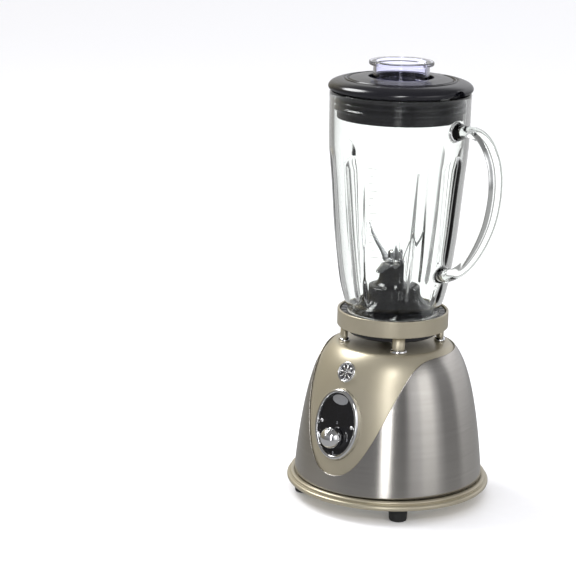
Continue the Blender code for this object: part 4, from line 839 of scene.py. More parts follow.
piece("badge_rosette", skin("badge_rosette", badge_disc(raised)), CHROME, "base")
piece("badge_enamel", skin("badge_enamel", badge_disc(0.0010)), ENAMEL, "base")

# %% [markdown]
# ## Pillars, collar and jar seat
# Four oval pillars stand on plated oval feet and carry the collar, a painted ring with a
# rolled lip. A black moulded cup sits in the collar and takes the jar.

# %% Pillars and their feet

POST_HALF, POST_FOOT_HALF = (0.0035, 0.00565), (0.0052, 0.0077)     # radial and sideways
posts, washers = [], []
for number in range(1, 5):
    low, high = node_box(f"post_washer_{number}")
    centre = 0.5 * (low + high)
    heading = math.atan2(centre[1] - AXIS[1], centre[0] - AXIS[0])
    outwards = np.array([math.cos(heading), math.sin(heading), 0.0])
    sideways = np.array([-math.sin(heading), math.cos(heading), 0.0])
    at = np.array([centre[0], centre[1], 0.0])
    post_top = node_box(f"collar_post_{number}")[1][2]
    post = rounded([(-0.0016, high[2] - 0.0004), (0.0, high[2] + 0.0002), (0.0, post_top),
                    (-0.0016, post_top)], [0.0, 0.0004, 0.0, 0.0])
    post_rows = np.vstack([[(0.0, 0.0, high[2] - 0.0004)], oval_rows(post), [(0.0, 0.0, post_top)]])
    posts.append(set_on(oval_turned(post_rows, POST_HALF, 72), at, outwards, sideways, UP))
    dome_share = np.linspace(0.0, 1.0, 12)
    crown = np.column_stack([0.55 + 0.45 * dome_share, 0.0 * dome_share,
                             low[2] + 0.0008 + (high[2] - low[2] - 0.0008) * np.sqrt(1.0 - dome_share ** 2)])
    foot_rows = np.vstack([[(0.0, 0.0, high[2])], crown, [(1.0, 0.0, low[2]), (0.0, 0.0, low[2])]])
    washers.append(set_on(oval_turned(foot_rows, POST_FOOT_HALF, 96), at, outwards, sideways, UP))
piece("pillar_posts", skin("pillar_posts", *posts), PAINT, "base",
      [f"collar_post_{k}" for k in range(1, 5)])
piece("pillar_feet", skin("pillar_feet", *washers), CHROME, "base",
      [f"post_washer_{k}" for k in range(1, 5)])

# %% Collar band and seat cup

outer, bore = COLLAR_RADIUS, COLLAR_RADIUS - 0.0024
low_z, high_z = COLLAR_LOW[2], COLLAR_HIGH[2]
collar = rounded([(outer, high_z - 0.0004), (outer - 0.0005, high_z), (bore, high_z), (bore, low_z + 0.0025),
                  (bore - 0.0078, low_z + 0.0025), (bore - 0.0078, low_z), (outer, low_z)],
                 [0.0004, 0.0008, 0.0010, 0.0002, 0.0004, 0.0004, 0.0008])
piece("collar_band", skin("collar_band", turned(closed(collar), 224)), PAINT, "base",
      ["collar_ring"])
SEAT_LOW, SEAT_HIGH = node_box("jar_seat")
flange, cup = radius_of("jar_seat"), bore - 0.0081
seat = rounded([(flange, SEAT_HIGH[2]), (flange, SEAT_HIGH[2] - 0.0022), (cup, SEAT_HIGH[2] - 0.0022),
                (cup, SEAT_LOW[2]), (0.0140, SEAT_LOW[2]), (0.0140, SEAT_LOW[2] + 0.0020),
                (cup - 0.0018, SEAT_LOW[2] + 0.0020), (cup - 0.0018, SEAT_HIGH[2])],
               [0.0006, 0.0003, 0.0003, 0.0014, 0.0005, 0.0005, 0.0008, 0.0005])
piece("seat_cup", skin("seat_cup", turned(closed(seat), 192)), GLOSS_BLACK, "base",
      ["jar_seat"])

# %% [markdown]
# ## The glass jar
# A gob of glass is pressed in a mould with eight flutes, and the handle is pressed on with
# it, so wall and handle are one solid. The wall is a turned curve with its radius pressed in
# at each flute; the handle is an oval carried along its centre line, swelling where it meets
# the wall. The two are fused with a Boolean and the joint is relaxed, as hot glass flows.

# %% Jar wall

JAR_SHAPE = ((0.000, 0.000), (0.018, 0.036), (0.031, 0.091), (0.067, 0.214), (0.137, 0.373),
             (0.231, 0.505), (0.369, 0.659), (0.508, 0.768), (0.597, 0.836), (0.730, 0.950),
             (0.824, 0.982), (1.000, 1.000))
FLUTES, FLUTE_DEPTH, FLUTE_TOP = 8, 0.0030, 0.745
FLUTE_PITCH = 2.0 * math.pi / FLUTES
HANDLE_ROUTE = ((0.00, 0.854), (0.28, 0.861), (0.50, 0.859), (0.68, 0.840), (0.83, 0.799),
                (0.955, 0.733), (1.00, 0.653), (0.98, 0.567), (0.905, 0.477), (0.77, 0.389),
                (0.61, 0.314), (0.43, 0.254), (0.25, 0.219), (0.08, 0.209), (0.00, 0.208))
jar_curve = smooth_through(JAR_SHAPE, 12)


def jar_radius(share):
    """The wall's outer radius at a share of its height, along a smooth curve through a few spots."""
    return JAR_FOOT + (JAR_MOUTH - JAR_FOOT) * np.interp(share, jar_curve[:, 0], jar_curve[:, 1])


def flute(angle, share):
    """How far a flute presses the wall in: a parabola across its spread, times a soft start at the
    foot and a rounded top, and filled in where the handle's lower root joins."""
    start = np.clip((share - 0.055) / 0.055, 0.0, 1.0)
    start = start * start * (3.0 - 2.0 * start)
    crown = np.clip((FLUTE_TOP - share) / 0.060, 0.0, 1.0)
    spread = np.radians(7.5 + 4.5 * share / FLUTE_TOP) * np.sqrt(1.0 - (1.0 - crown) ** 2) + 1e-6
    from_middle = (angle + 0.5 * FLUTE_PITCH) % FLUTE_PITCH - 0.5 * FLUTE_PITCH
    across = np.clip(np.abs(from_middle) / spread, 0.0, 1.0)
    by_handle = np.abs((angle + np.pi) % (2.0 * np.pi) - np.pi) < 0.5 * FLUTE_PITCH
    filled = 1.0 - by_handle * np.exp(-((share - HANDLE_ROUTE[-1][1]) / 0.065) ** 2)
    return FLUTE_DEPTH * start * crown ** 0.5 * (1.0 - across ** 2) ** 1.5 * filled


fine = np.linspace(-1.0, 1.0, 33)[:-1]
offsets = 0.5 * FLUTE_PITCH * np.sign(fine) * np.abs(fine) ** 1.15
jar_angles = (np.arange(FLUTES)[:, None] * FLUTE_PITCH + offsets).ravel()
jar_angles = np.append(jar_angles, jar_angles[0] + 2.0 * np.pi)[None, :]
rise = np.concatenate([np.linspace(0.012, 0.10, 16, endpoint=False),
                       np.linspace(0.10, 0.66, 56, endpoint=False),
                       np.linspace(0.66, 0.76, 28, endpoint=False),
                       np.linspace(0.76, 0.985, 20)])[:, None]
rim_turn = np.linspace(0.0, np.pi, 11)[1:-1][:, None]
half_wall = 0.5 * JAR_WALL
outer_r = jar_radius(rise) - flute(jar_angles, rise)
inner_r = jar_radius(rise) - JAR_WALL - 0.20 * flute(jar_angles, rise)
outer_z = JAR_BOTTOM + JAR_HEIGHT * rise + 0.0 * jar_angles
rim_r = jar_radius(1.0) - half_wall + half_wall * np.cos(rim_turn) + 0.0 * jar_angles
rim_z = JAR_TOP - half_wall + half_wall * np.sin(rim_turn) + 0.0 * jar_angles
foot_r = jar_radius(0.0) - half_wall - half_wall * np.cos(rim_turn) + 0.0 * jar_angles
foot_z = JAR_BOTTOM + 0.6 * half_wall - 0.6 * half_wall * np.sin(rim_turn) + 0.0 * jar_angles
jar_r = np.vstack([outer_r, rim_r, inner_r[::-1], foot_r, outer_r[:1]])
jar_z = np.vstack([outer_z, rim_z, outer_z[::-1], foot_z, outer_z[:1]])
jar_grid = round_axis(jar_r, jar_angles, jar_z)
print("jar wall:", jar_grid.shape[:2], "points")

# %% Handle


def square_to(line):
    """At each point of a line in a plane, the unit vector square to it."""
    heading = np.gradient(line[:, :2], axis=0)
    heading /= np.linalg.norm(heading, axis=1, keepdims=True)
    return np.stack([-heading[:, 1], heading[:, 0]], axis=-1)


def capped(grid):
    """The grid with its first and last row closed by a row at their middle."""
    first, last = (np.broadcast_to(grid[k].mean(axis=0), grid[:1].shape) for k in (0, -1))
    return np.concatenate([first, grid, last], axis=0)


def handle_grid(columns=48):
    """The centre line runs in the plane of +X; at each of its points an oval stands square to it,
    5.2 by 8 mm, and swells near both ends as 1 + a exp(-(distance / reach)^2)."""
    route = np.array(HANDLE_ROUTE)
    first, last = route[0, 1], route[-1, 1]
    upper = jar_radius(first) - 0.45 * JAR_WALL
    lower = jar_radius(last) - 0.50 * JAR_WALL
    root = lower + (upper - lower) * (route[:, 1] - last) / (first - last)
    reach = root + (HANDLE_REACH - 0.00525 - root) * route[:, 0]
    line = smooth_through(np.stack([reach, JAR_BOTTOM + JAR_HEIGHT * route[:, 1]], axis=-1), 8)
    normal = square_to(line)
    run = np.concatenate([[0.0], np.cumsum(np.linalg.norm(np.diff(line, axis=0), axis=1))])
    swell_up = np.exp(-(np.maximum(run - 0.0018, 0.0) / 0.0065) ** 2)
    swell_down = np.exp(-(np.maximum(run[-1] - run - 0.0020, 0.0) / 0.0080) ** 2)
    thick = 0.0052 * (1.0 + 0.65 * swell_up + 0.45 * swell_down)[:, None]
    wide = 0.0080 * (1.0 + 0.22 * swell_up + 0.22 * swell_down)[:, None]
    a = np.linspace(0.0, 2.0 * np.pi, columns + 1)[None, :]
    radial = line[:, :1] + normal[:, :1] * thick * np.cos(a)
    height = line[:, 1:] + normal[:, 1:] * thick * np.cos(a)
    return capped(np.stack([AXIS[0] + radial, AXIS[1] + wide * np.sin(a), height], axis=-1)), line


handle_points, handle_line = handle_grid()
handle = bpy.data.objects.new("handle_tool", skin("handle_tool", handle_points))
scene.collection.objects.link(handle)
jar = piece("jar_glass", skin("jar_glass", jar_grid), GLASS, "jar", ["glass_jar"])
fuse = jar.modifiers.new("fuse", "BOOLEAN")
fuse.operation = "UNION"
fuse.solver = "EXACT"
fuse.object = handle
settle(jar)
bpy.data.objects.remove(handle)
weld(jar.data, 2e-5)

# %% Relax the joint between wall and handle

points = np.empty(3 * len(jar.data.vertices))
jar.data.vertices.foreach_get("co", points)
points = points.reshape(-1, 3)
radius = np.hypot(points[:, 0] - AXIS[0], points[:, 1] - AXIS[1])
wall_here = jar_radius((points[:, 2] - JAR_BOTTOM) / JAR_HEIGHT)
near_root = np.zeros(len(points), bool)
for spot in (handle_line[0], handle_line[-1]):
    away = np.hypot(points[:, 1] - AXIS[1], points[:, 2] - spot[1])
    at_wall = (radius > wall_here - 0.0012) & (radius < wall_here + 0.0090)
    near_root |= (away < 0.0150) & at_wall & (points[:, 0] > 0)
group = jar.vertex_groups.new(name="root")
group.add(np.flatnonzero(near_root).tolist(), 1.0, "REPLACE")
relax = jar.modifiers.new("relax", "SMOOTH")
relax.factor = 0.5
relax.iterations = 10
relax.vertex_group = "root"
settle(jar)
jar.vertex_groups.clear()
jar.data.shade_smooth()
print("jar:", len(jar.data.polygons), "faces, one solid with its handle")

# %% [markdown]
# ## Graduations
# A scale is printed on the glass in fired frit: short and long ticks with no words. Each tick
# is a tiny patch that follows the wall, a few hundredths of a millimetre proud of it.

# %% Tick marks on the wall

tick_rise = np.linspace(0.30, 0.70, 13)
tick_length = np.where(np.arange(13) % 3 == 0, 0.0085, 0.0050)
tick_start = math.radians(-90.0 + 12.0)
ticks = []
for height_share, length in zip(tick_rise, tick_length):
    r = float(jar_radius(height_share))
    a = tick_start + np.linspace(0.0, length / r, 8)[None, :]
    z_row = JAR_BOTTOM + JAR_HEIGHT * height_share + np.array([-0.00028, 0.00028])[:, None]
    share_row = (z_row - JAR_BOTTOM) / JAR_HEIGHT
    r_row = jar_radius(share_row) - flute(a, share_row)
    face, back = (round_axis(r_row + lift, a, z_row) for lift in (0.00006, 0.00001))
    ticks.append(np.concatenate([face, back[::-1], face[:1]], axis=0))
piece("jar_graduations", skin("jar_graduations", *ticks), FRIT, "jar")

# %% [markdown]
# ## Screw collar and hub
# A black screw collar clamps the hub to the foot of the glass. The hub is the piece that
# shows best through the jar: a flange, a round shoulder and a column that carries the blades.

# %% Screw collar and hub

COLLAR_J_LOW, COLLAR_J_HIGH = node_box("jar_collar")
upper_r, top_z, low_z = radius_of("jar_collar"), COLLAR_J_HIGH[2], COLLAR_J_LOW[2]
flange_z = SEAT_HIGH[2] + 0.0003
screw_collar = rounded([(upper_r, top_z), (upper_r, flange_z), (0.0377, flange_z), (0.0377, low_z),
                        (0.0359, low_z), (0.0359, flange_z + 0.0020), (0.0420, flange_z + 0.0020),
                        (0.0420, top_z - 0.0006), (0.0440, top_z)],
                       [0.0012, 0.0004, 0.0003, 0.0004, 0.0004, 0.0003, 0.0002, 0.0006, 0.0006])
ribs = turned(closed(screw_collar), 480)
rib_angle = np.arctan2(ribs[..., 1] - AXIS[1], ribs[..., 0] - AXIS[0])
on_top = np.clip((ribs[..., 2] - (top_z - 0.0008)) / 0.0006, 0.0, 1.0)
ribs[..., 2] -= 0.0005 * on_top * np.clip(4.0 * np.cos(30.0 * rib_angle) - 2.6, 0.0, 1.0)
piece("screw_collar", skin("screw_collar", ribs), GLOSS_BLACK, "jar", ["jar_collar"])

HUB_LOW, HUB_HIGH = node_box("blade_housing")
hub_top, shoulder_z = HUB_HIGH[2], JAR_BOTTOM + 0.0247
hub_flank = smooth_through([(0.0130, hub_top - 0.0008), (0.0134, hub_top - 0.0090),
                            (0.0146, shoulder_z + 0.0045), (0.0176, shoulder_z + 0.0012),
                            (0.0216, shoulder_z)], 8)
hub_corners = [(0.0236, shoulder_z - 0.0008), (0.0245, JAR_BOTTOM + 0.0147), (0.0340, JAR_BOTTOM + 0.0047),
               (0.0360, JAR_BOTTOM + 0.0017), (0.0360, JAR_BOTTOM - 0.0030), (0.0417, JAR_BOTTOM - 0.0030),
               (0.0417, HUB_LOW[2] + 0.0092), (0.0356, HUB_LOW[2] + 0.0092), (0.0356, HUB_LOW[2]),
               (0.0140, HUB_LOW[2]), (0.0140, HUB_LOW[2] + 0.0125), (0.0035, HUB_LOW[2] + 0.0125),
               (0.0035, hub_top)]
hub_radii = [0.0009, 0.0030, 0.0020, 0.0008, 0.0003, 0.0003, 0.0003, 0.0002, 0.0004, 0.0004, 0.0003, 0.0001,
             0.0004]
hub_rest = rounded([tuple(hub_flank[-1])] + hub_corners + [(0.0124, hub_top)], [0.0] + hub_radii + [0.0006])
hub = np.vstack([hub_flank, hub_rest, hub_flank[:1]])
piece("hub_housing", skin("hub_housing", turned(hub, 192)), GLOSS_BLACK, "jar",
      ["blade_housing"])

# %% [markdown]
# ## Blades
# Two strips of stainless are stamped, bent and ground to an edge, and clamped across the
# spindle by a nut: one pair sweeps up as tall crescents, one droops. A strip is a centre line
# with a width, and its section is a lens that thins to both edges.

# %% Blade strips


def blade_grid(profile, level, thickness, heading):
    """Along a smooth centre line (reach, rise, half width) stands a flat lens, half a thickness high
    at its middle as 1 - |v|^3, closed round both edges; the other side is its mirror."""
    half_line = smooth_through(profile, 10)
    line = np.vstack([half_line[:0:-1] * np.array([-1.0, 1.0, 1.0]), half_line])
    normal = square_to(line)
    a = np.linspace(0.0, 2.0 * np.pi, 33)[None, :]
    v = np.cos(a)
    lens_height = 0.5 * thickness * np.sign(np.sin(a)) * (1.0 - np.abs(v) ** 3)
    side = line[:, 2:] * v
    x = line[:, :1] + normal[:, :1] * lens_height
    z = level + 0.5 * thickness + line[:, 1:2] + normal[:, 1:] * lens_height
    c, s = math.cos(heading), math.sin(heading)
    return capped(np.stack([AXIS[0] + c * x - s * side, AXIS[1] + s * x + c * side, z], axis=-1))


BLADE_THICKNESS = 0.0012
lower_level = hub_top + 0.0010
upper_level = lower_level + BLADE_THICKNESS + 0.0006
LIFT = node_box("blade_upper")[1][2] - upper_level - 0.0014
rising = [(0.0, 0.0, 0.0080), (0.0075, 0.0, 0.0072), (0.0112, 0.11 * LIFT, 0.0044),
          (0.0148, 0.25 * LIFT, 0.0034), (0.0190, 0.40 * LIFT, 0.0029), (0.0233, 0.58 * LIFT, 0.0024),
          (0.0271, 0.78 * LIFT, 0.0016), (0.0296, LIFT, 0.0003)]
drooping = [(0.0, 0.0, 0.0085), (0.0090, 0.0, 0.0080), (0.0140, -0.0010, 0.0062),
            (0.0200, -0.0030, 0.0050), (0.0245, -0.0046, 0.0034), (0.0256, -0.0050, 0.0010)]
rising_points = blade_grid(rising, upper_level, BLADE_THICKNESS, math.radians(3.0))
piece("blade_rising", skin("blade_rising", rising_points), BLADE_STEEL, "blades", ["blade_upper"])
drooping_points = blade_grid(drooping, lower_level, BLADE_THICKNESS, math.radians(93.0))
piece("blade_drooping", skin("blade_drooping", drooping_points), BLADE_STEEL, "blades",
      ["blade_lower"])

# %% Nut and spindle

NUT_LOW, NUT_HIGH = node_box("blade_nut")
nut_a = np.linspace(0.0, 2.0 * np.pi, 145)[None, :]
flat_radius = 0.0055 / np.cos((nut_a + np.pi / 6.0) % (np.pi / 3.0) - np.pi / 6.0)
nut_rise = np.array([0.0, 0.0, 0.10, 0.22, 0.5, 0.78, 0.90, 1.0, 1.0])[:, None]
nut_share = np.array([0.0, 0.86, 0.95, 1.0, 1.0, 1.0, 0.95, 0.86, 0.0])[:, None]
cone = 0.0054 + 0.0056 * np.minimum(nut_rise, 1.0 - nut_rise)
nut_r = np.where(nut_share > 0.0, np.minimum(flat_radius, cone + 0.0 * nut_a), 0.0)
nut_z = NUT_LOW[2] + (NUT_HIGH[2] - NUT_LOW[2]) * nut_rise
piece("hex_nut", skin("hex_nut", round_axis(nut_r, nut_a, nut_z)), BLADE_STEEL, "blades",
      ["blade_nut"])
SPINDLE_LOW, SPINDLE_HIGH = node_box("blade_shaft")
spindle_r = radius_of("blade_shaft")
spindle = rounded([(0.0, SPINDLE_HIGH[2]), (spindle_r, SPINDLE_HIGH[2]), (spindle_r, SPINDLE_LOW[2]),
                   (0.0, SPINDLE_LOW[2])], [0.0, 0.0008, 0.0005, 0.0])
piece("spindle", skin("spindle", turned(spindle, 64)), BLADE_STEEL, "blades", ["blade_shaft"])

# %% [markdown]
# ## Lid and filler cap
# The lid is a satin black moulding: a crowned top with a double groove, a thick rolled brim
# with a finger scoop over the handle, and a ribbed skirt that seals inside the glass. Its
# well takes the clear cap, a cup with a wide flange.

# %% Lid

LID_LOW, LID_HIGH = node_box("lid")
brim, lid_top, skirt_z = radius_of("lid"), LID_HIGH[2], LID_LOW[2]
brim_z = JAR_TOP + 0.0003
ridge = JAR_MOUTH - JAR_WALL - 0.0006
skirt = ridge - 0.0023
well, well_z = 0.0288, lid_top - 0.0094
top_curve = [(well + 0.0004, lid_top), (well + 0.0060, lid_top - 0.0001), (brim - 0.0190, lid_top - 0.0017),
             (brim - 0.0180, lid_top - 0.0032), (brim - 0.0172, lid_top - 0.0032),
             (brim - 0.0164, lid_top - 0.0017), (brim - 0.0152, lid_top - 0.0018),
             (brim - 0.0146, lid_top - 0.0030), (brim - 0.0138, lid_top - 0.0030),
             (brim - 0.0130, lid_top - 0.0021), (brim - 0.0080, lid_top - 0.0031),
             (brim - 0.0032, lid_top - 0.0050),
             (brim - 0.0008, lid_top - 0.0072), (brim, lid_top - 0.0092), (brim - 0.0008, lid_top - 0.0114),
             (brim - 0.0028, brim_z)]
top_radii = [0.0006, 0.0030, 0.0005, 0.0004, 0.0004, 0.0004, 0.0004, 0.0004, 0.0004, 0.0006, 0.0030, 0.0030,
             0.0018, 0.0018, 0.0018, 0.0014]
skirt_curve = [(ridge, brim_z), (ridge, JAR_TOP - 0.0046), (skirt, JAR_TOP - 0.0062),
               (ridge, JAR_TOP - 0.0086),
               (ridge, JAR_TOP - 0.0098), (skirt, JAR_TOP - 0.0116), (ridge, JAR_TOP - 0.0142),
               (ridge, JAR_TOP - 0.0154), (skirt, JAR_TOP - 0.0172), (skirt, skirt_z),
               (skirt - 0.0025, skirt_z), (skirt - 0.0025, lid_top - 0.0092),
               (skirt - 0.0075, lid_top - 0.0042),
               (well + 0.0025, lid_top - 0.0042), (well + 0.0025, well_z - 0.0025),
               (well - 0.0058, well_z - 0.0025), (well - 0.0058, well_z), (well, well_z)]
skirt_radii = [0.0005, 0.0004, 0.0005, 0.0004, 0.0004, 0.0005, 0.0004, 0.0004, 0.0005, 0.0012,
               0.0008, 0.0020, 0.0020, 0.0008, 0.0008, 0.0008, 0.0006, 0.0010]
lid_outline = closed(rounded(top_curve + skirt_curve, top_radii + skirt_radii))
lid_grid = turned(lid_outline, 288)
sideways = lid_grid[..., 1] - AXIS[1]
SCOOP_HALF = 0.0110
scoop = brim_z - 0.0045 + np.sqrt(np.maximum(SCOOP_HALF ** 2 - sideways ** 2, 0.0))
outside = np.hypot(lid_grid[..., 0] - AXIS[0], sideways) > ridge + 0.0010
over_handle = (lid_grid[..., 0] > AXIS[0]) & (np.abs(sideways) < SCOOP_HALF)
under_scoop = outside & over_handle & (lid_grid[..., 2] < scoop)
lid_grid[..., 2] = np.where(under_scoop, np.minimum(scoop, lid_top - 0.0052), lid_grid[..., 2])
piece("lid_moulding", skin("lid_moulding", lid_grid), SATIN_BLACK, "lid", ["lid"])

# %% Filler cap

CAP_LOW, CAP_HIGH = node_box("filler_cap")
cap_top, cap_low, cap_r = CAP_HIGH[2], CAP_LOW[2], radius_of("filler_cap")
wall, body_r, plug_r = 0.0025, 0.0253, 0.0225
rest_z = well_z + 0.0003
cap = rounded([(0.0, cap_low + wall), (plug_r - wall, cap_low + wall), (plug_r - wall, rest_z + wall),
               (body_r - wall, rest_z + 2.0 * wall), (body_r - wall, cap_top), (cap_r, cap_top),
               (cap_r, cap_top - 0.0035), (body_r, cap_top - 0.0035), (body_r, rest_z), (plug_r, rest_z),
               (plug_r, cap_low), (0.0, cap_low)],
              [0.0, 0.0012, 0.0008, 0.0008, 0.0010, 0.0010, 0.0010, 0.0010, 0.0006, 0.0006, 0.0012, 0.0])
piece("cap_clear", skin("cap_clear", turned(cap, 192)), ACRYLIC, "cap", ["filler_cap"])

# %% [markdown]
# ## Floor, light and camera
# A product studio: a pale floor and a white surround. Polished metal, paint and clear glass
# each need something of their own to reflect, so the surround differs by the kind of ray.
# Metal and paint see grey walls with a bright upright strip in front, a soft box above left
# and a darker floor. Glass mirrors a darker front and a lighter back. What is seen through
# glass is white, with eight narrow grey cards that draw the flutes' dark edges. Two lamps
# add the soft shadow and the sheen on the lid's ridges.

# %% Floor

floor_reach = np.array([-20.0, 20.0])
floor_points = np.stack([*np.meshgrid(floor_reach, floor_reach), np.zeros((2, 2))], axis=-1)
floor_mesh = bpy.data.meshes.new("studio_floor")
floor_mesh.from_pydata(floor_points.reshape(-1, 3), [], [(0, 1, 3, 2)])
floor = bpy.data.objects.new("studio_floor", floor_mesh)
scene.collection.objects.link(floor)
# Rolled white vinyl: nearly even, with a faint grain that keeps the shadow soft.
FLOOR_FINISH, floor_tree, floor_shader, floor_place = finish("vinyl_white_sweep_rolled",
                                                             Specular_IOR_Level=0.25)
floor_grain = add(floor_tree, "TexNoise", {"Vector": floor_place, "Scale": per(9.0)}).outputs["Fac"]
vary(floor_tree, floor_shader, floor_grain, "Base Color", "#F4F4F6", "#F8F8FA", colour=True)
vary(floor_tree, floor_shader, floor_grain, "Roughness", 0.40, 0.50)
floor_mesh.materials.append(FLOOR_FINISH)
floor.visible_glossy = False
floor.visible_transmission = False
floor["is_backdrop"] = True
print("floor:", floor_reach, "metres")

# %% The room

VIEW_TURN = math.radians(37.0)
# The walls' grey by compass, in degrees from the front.
ROOM = ((-180, "#BEBEC0"), (-150, "#A09A88"), (-120, "#827B68"), (-90, "#767164"), (-60, "#717172"),
        (-30, "#717174"), (-12, "#79797B"), (-8, "#FFFFFF"), (3, "#FFFFFF"), (5, "#666668"), (22, "#68686A"),
        (30, "#C8C8CA"), (42, "#DEDEE0"), (46, "#FFFFFF"), (60, "#FFFFFF"), (68, "#BEBEC0"), (78, "#828284"),
        (98, "#7E7E80"), (108, "#CCCCCE"), (140, "#CCCCCE"), (180, "#BEBEC0"))
ROOM_LIGHT, STRIP_LIGHT, FRONT_OF_CLEAR = 1.15, 5.0, 0.16
STRIP_AT, STRIP_HALF, FLOOR_LIGHT = math.radians(-2.5), math.radians(4.4), 0.38
SOFT_BOX_WAY = (-0.653, 0.293, 0.698)
EVEN_LIGHT = (1.15, 1.15, 1.17, 1.0)
# The grey cards behind glass: how many, where they start, and the light on them and between.
FLAGS, FLAG_START, FLAG_GREY, BEHIND_GLASS = 8.0, math.radians(-32.0), 0.34, 1.35


def studio_world():
    """The camera sees white; rays through glass see white with grey cards; mirrored rays off glass
    see dark in front and light behind; gloss sees walls by compass, the strip, the soft box and
    the floor; diffuse rays see an even dome."""
    world = bpy.data.worlds.new("studio")
    world.use_nodes = True
    tree = world.node_tree
    tree.nodes.clear()
    direction = add(tree, "TexCoord").outputs["Generated"]
    turned_view = add(tree, "Mapping", {"Vector": direction, "Rotation": (0.0, 0.0, -VIEW_TURN)}).outputs[0]
    axes = add(tree, "SeparateXYZ", {0: turned_view})
    depth = add(tree, "Math", {0: axes.outputs["Y"], 1: -1.0}, operation="MULTIPLY").outputs[0]
    compass = add(tree, "Math", {0: axes.outputs["X"], 1: depth}, operation="ARCTAN2").outputs[0]
    place = add(tree, "Math", {0: compass, 1: 0.5 / math.pi, 2: 0.5}, operation="MULTIPLY_ADD").outputs[0]
    ramp = add(tree, "ValToRGB", {0: place})
    stops = ramp.color_ramp.elements
    for angle, shade in ROOM[1:-1]:
        stops.new(angle / 360.0 + 0.5).color = linear(shade)
    stops[0].color = stops[-1].color = linear(ROOM[0][1])
    from_strip = add(tree, "Math", {0: compass, 1: STRIP_AT}, operation="SUBTRACT").outputs[0]
    from_strip = add(tree, "Math", {0: from_strip}, operation="ABSOLUTE").outputs[0]
    strength = add(tree, "MapRange", {"Value": from_strip, "From Min": STRIP_HALF,
                                      "From Max": 1.25 * STRIP_HALF, "To Min": STRIP_LIGHT,
                                      "To Max": ROOM_LIGHT}).outputs["Result"]
    upright = add(tree, "MapRange", {"Value": axes.outputs["Z"], "From Min": -0.20, "From Max": -0.06,
                                     "To Min": 0.25, "To Max": strength}).outputs["Result"]
    walls = add(tree, "VectorMath", {0: ramp.outputs["Color"], "Scale": upright},
                operation="SCALE").outputs[0]
    taller = add(tree, "MapRange", {"Value": axes.outputs["Z"], "From Min": 0.10, "From Max": 0.40,
                                    "To Min": 1.0, "To Max": 1.6}).outputs["Result"]
    walls = add(tree, "VectorMath", {0: walls, "Scale": taller}, operation="SCALE").outputs[0]
    above = add(tree, "MapRange", {"Value": axes.outputs["Z"], "From Min": 0.42, "From Max": 0.66},
                interpolation_type="SMOOTHSTEP").outputs[0]
    box_way = add(tree, "VectorMath", {0: turned_view, 1: SOFT_BOX_WAY}, operation="DOT_PRODUCT")
    box = add(tree, "MapRange", {"Value": box_way.outputs["Value"], "From Min": 0.94, "From Max": 0.985,
                                 "To Min": 0.20, "To Max": 3.2}, interpolation_type="SMOOTHSTEP").outputs[0]
    low_down = add(tree, "MapRange", {"Value": axes.outputs["Z"], "From Min": -0.12,
                                      "From Max": -0.26}).outputs[0]
    walls = add(tree, "Mix", {"Factor": low_down, 6: walls, 7: (FLOOR_LIGHT,) * 3 + (1.0,)},
                data_type="RGBA").outputs[2]
    gloss = add(tree, "Mix", {"Factor": above, 6: walls, 7: box}, data_type="RGBA").outputs[2]
    path = add(tree, "LightPath")
    aside = add(tree, "Math", {0: compass}, operation="ABSOLUTE").outputs[0]
    on_clear = add(tree, "MapRange", {"Value": aside, "From Min": math.radians(70.0),
                                      "From Max": math.radians(150.0), "To Min": FRONT_OF_CLEAR,
                                      "To Max": 0.80}, interpolation_type="SMOOTHSTEP").outputs["Result"]
    off_clear = add(tree, "Math", {0: path.outputs["Is Singular Ray"],
                                   1: path.outputs["Is Transmission Ray"]},
                    operation="SUBTRACT", use_clamp=True).outputs[0]
    gloss = add(tree, "Mix", {"Factor": off_clear, 6: gloss, 7: on_clear}, data_type="RGBA").outputs[2]
    bounced = add(tree, "Math", {0: path.outputs["Diffuse Depth"], 1: 1.0}, operation="MINIMUM").outputs[0]
    lit = add(tree, "Mix", {"Factor": bounced, 6: gloss, 7: EVEN_LIGHT}, data_type="RGBA")
    card = add(tree, "Math", {0: compass, 1: FLAGS, 2: FLAG_START}, operation="MULTIPLY_ADD").outputs[0]
    card = add(tree, "Math", {0: card}, operation="COSINE").outputs[0]
    card = add(tree, "MapRange", {"Value": card, "From Min": -0.88, "From Max": -0.62, "To Min": FLAG_GREY,
                                  "To Max": BEHIND_GLASS}).outputs["Result"]
    down = add(tree, "MapRange", {"Value": axes.outputs["Z"], "From Min": -0.80,
                                  "From Max": -0.60}).outputs[0]
    behind = add(tree, "Mix", {"Factor": down, 2: BEHIND_GLASS, 3: card}).outputs[0]
    through = add(tree, "Mix", {"Factor": path.outputs["Is Transmission Ray"], 2: 1.0, 3: behind}).outputs[0]
    turned_away = add(tree, "Math", {0: path.outputs["Glossy Depth"], 1: path.outputs["Diffuse Depth"]},
                      operation="ADD").outputs[0]
    turned_away = add(tree, "Math", {0: turned_away, 1: 1.0}, operation="MINIMUM").outputs[0]
    colour = add(tree, "Mix", {"Factor": turned_away, 6: through, 7: lit.outputs[2]}, data_type="RGBA")
    background = add(tree, "Background", {"Color": colour.outputs[2], "Strength": 1.0})
    add(tree, "OutputWorld", {"Surface": background.outputs[0]})
    return world


scene.world = studio_world()
print("room:", len(ROOM), "shades of wall,", int(FLAGS), "cards behind glass")

# %% Lamps


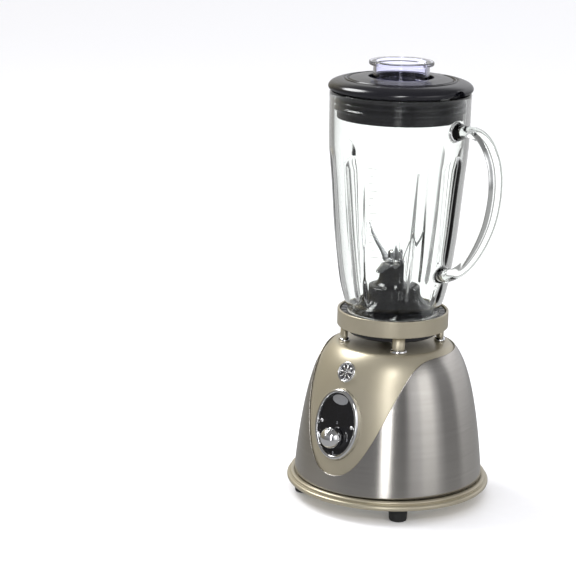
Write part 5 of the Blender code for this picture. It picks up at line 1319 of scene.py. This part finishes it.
def soft_box(name, azimuth, elevation, distance, size, power):
    """An area lamp aimed at the middle of the object, placed by compass and height from it."""
    lamp = bpy.data.lights.new(name, "AREA")
    lamp.shape = "DISK"
    lamp.size = size
    lamp.energy = power
    holder = bpy.data.objects.new(name, lamp)
    scene.collection.objects.link(holder)
    a, e = math.radians(azimuth) + VIEW_TURN, math.radians(elevation)
    way = np.array([math.sin(a) * math.cos(e), -math.cos(a) * math.cos(e), math.sin(e)])
    target = np.array([AXIS[0], AXIS[1], 0.15])
    side = np.cross(UP, way)
    side /= np.linalg.norm(side)
    matrix = np.eye(4)
    matrix[:3, 0], matrix[:3, 1], matrix[:3, 2] = side, np.cross(way, side), way
    matrix[:3, 3] = target + distance * way
    holder.matrix_world = matrix.T.tolist()
    return holder


soft_box("overhead_left", -112.0, 50.0, 1.9, 0.9, 20.0)
soft_box("front_kicker", 3.0, 38.0, 1.6, 0.30, 3.5)
print("lamps:", [lamp.name for lamp in bpy.data.lights])

# %% Camera

PITCH, YAW, ROLL = math.radians(14.21), math.radians(-3.08), math.radians(1.27)
LENS_MM, SENSOR_MM = 126.625, 36.0
STAND_BACK, EYE_HEIGHT = 1.796, 0.647
ahead = np.array([math.sin(YAW) * math.cos(PITCH), math.cos(YAW) * math.cos(PITCH), -math.sin(PITCH)])
right = np.array([math.cos(YAW), -math.sin(YAW), 0.0])
up = np.cross(right, ahead)
rolled_right = math.cos(ROLL) * right + math.sin(ROLL) * up
rolled_up = math.cos(ROLL) * up - math.sin(ROLL) * right
turn = np.array([[math.cos(VIEW_TURN), -math.sin(VIEW_TURN), 0.0],
                 [math.sin(VIEW_TURN), math.cos(VIEW_TURN), 0.0], [0.0, 0.0, 1.0]])
pose = np.eye(4)
pose[:3, :3] = turn @ np.stack([rolled_right, rolled_up, -ahead], axis=1)
pose[:3, 3] = turn @ np.array([0.0, -STAND_BACK, EYE_HEIGHT]) + np.array([AXIS[0], 0.0, 0.0])
camera_data = bpy.data.cameras.new("view")
camera_data.lens = LENS_MM
camera_data.sensor_width = SENSOR_MM
camera = bpy.data.objects.new("view", camera_data)
scene.collection.objects.link(camera)
camera.matrix_world = pose.T.tolist()
scene.camera = camera
scene.view_settings.view_transform = "Standard"
scene.view_settings.look = "None"
print("camera", pose[:3, 3].round(4), "lens", round(camera_data.lens, 2))

# %% Sizes, and done

low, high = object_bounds()
print("visual box:", np.round(low, 4), np.round(high, 4))
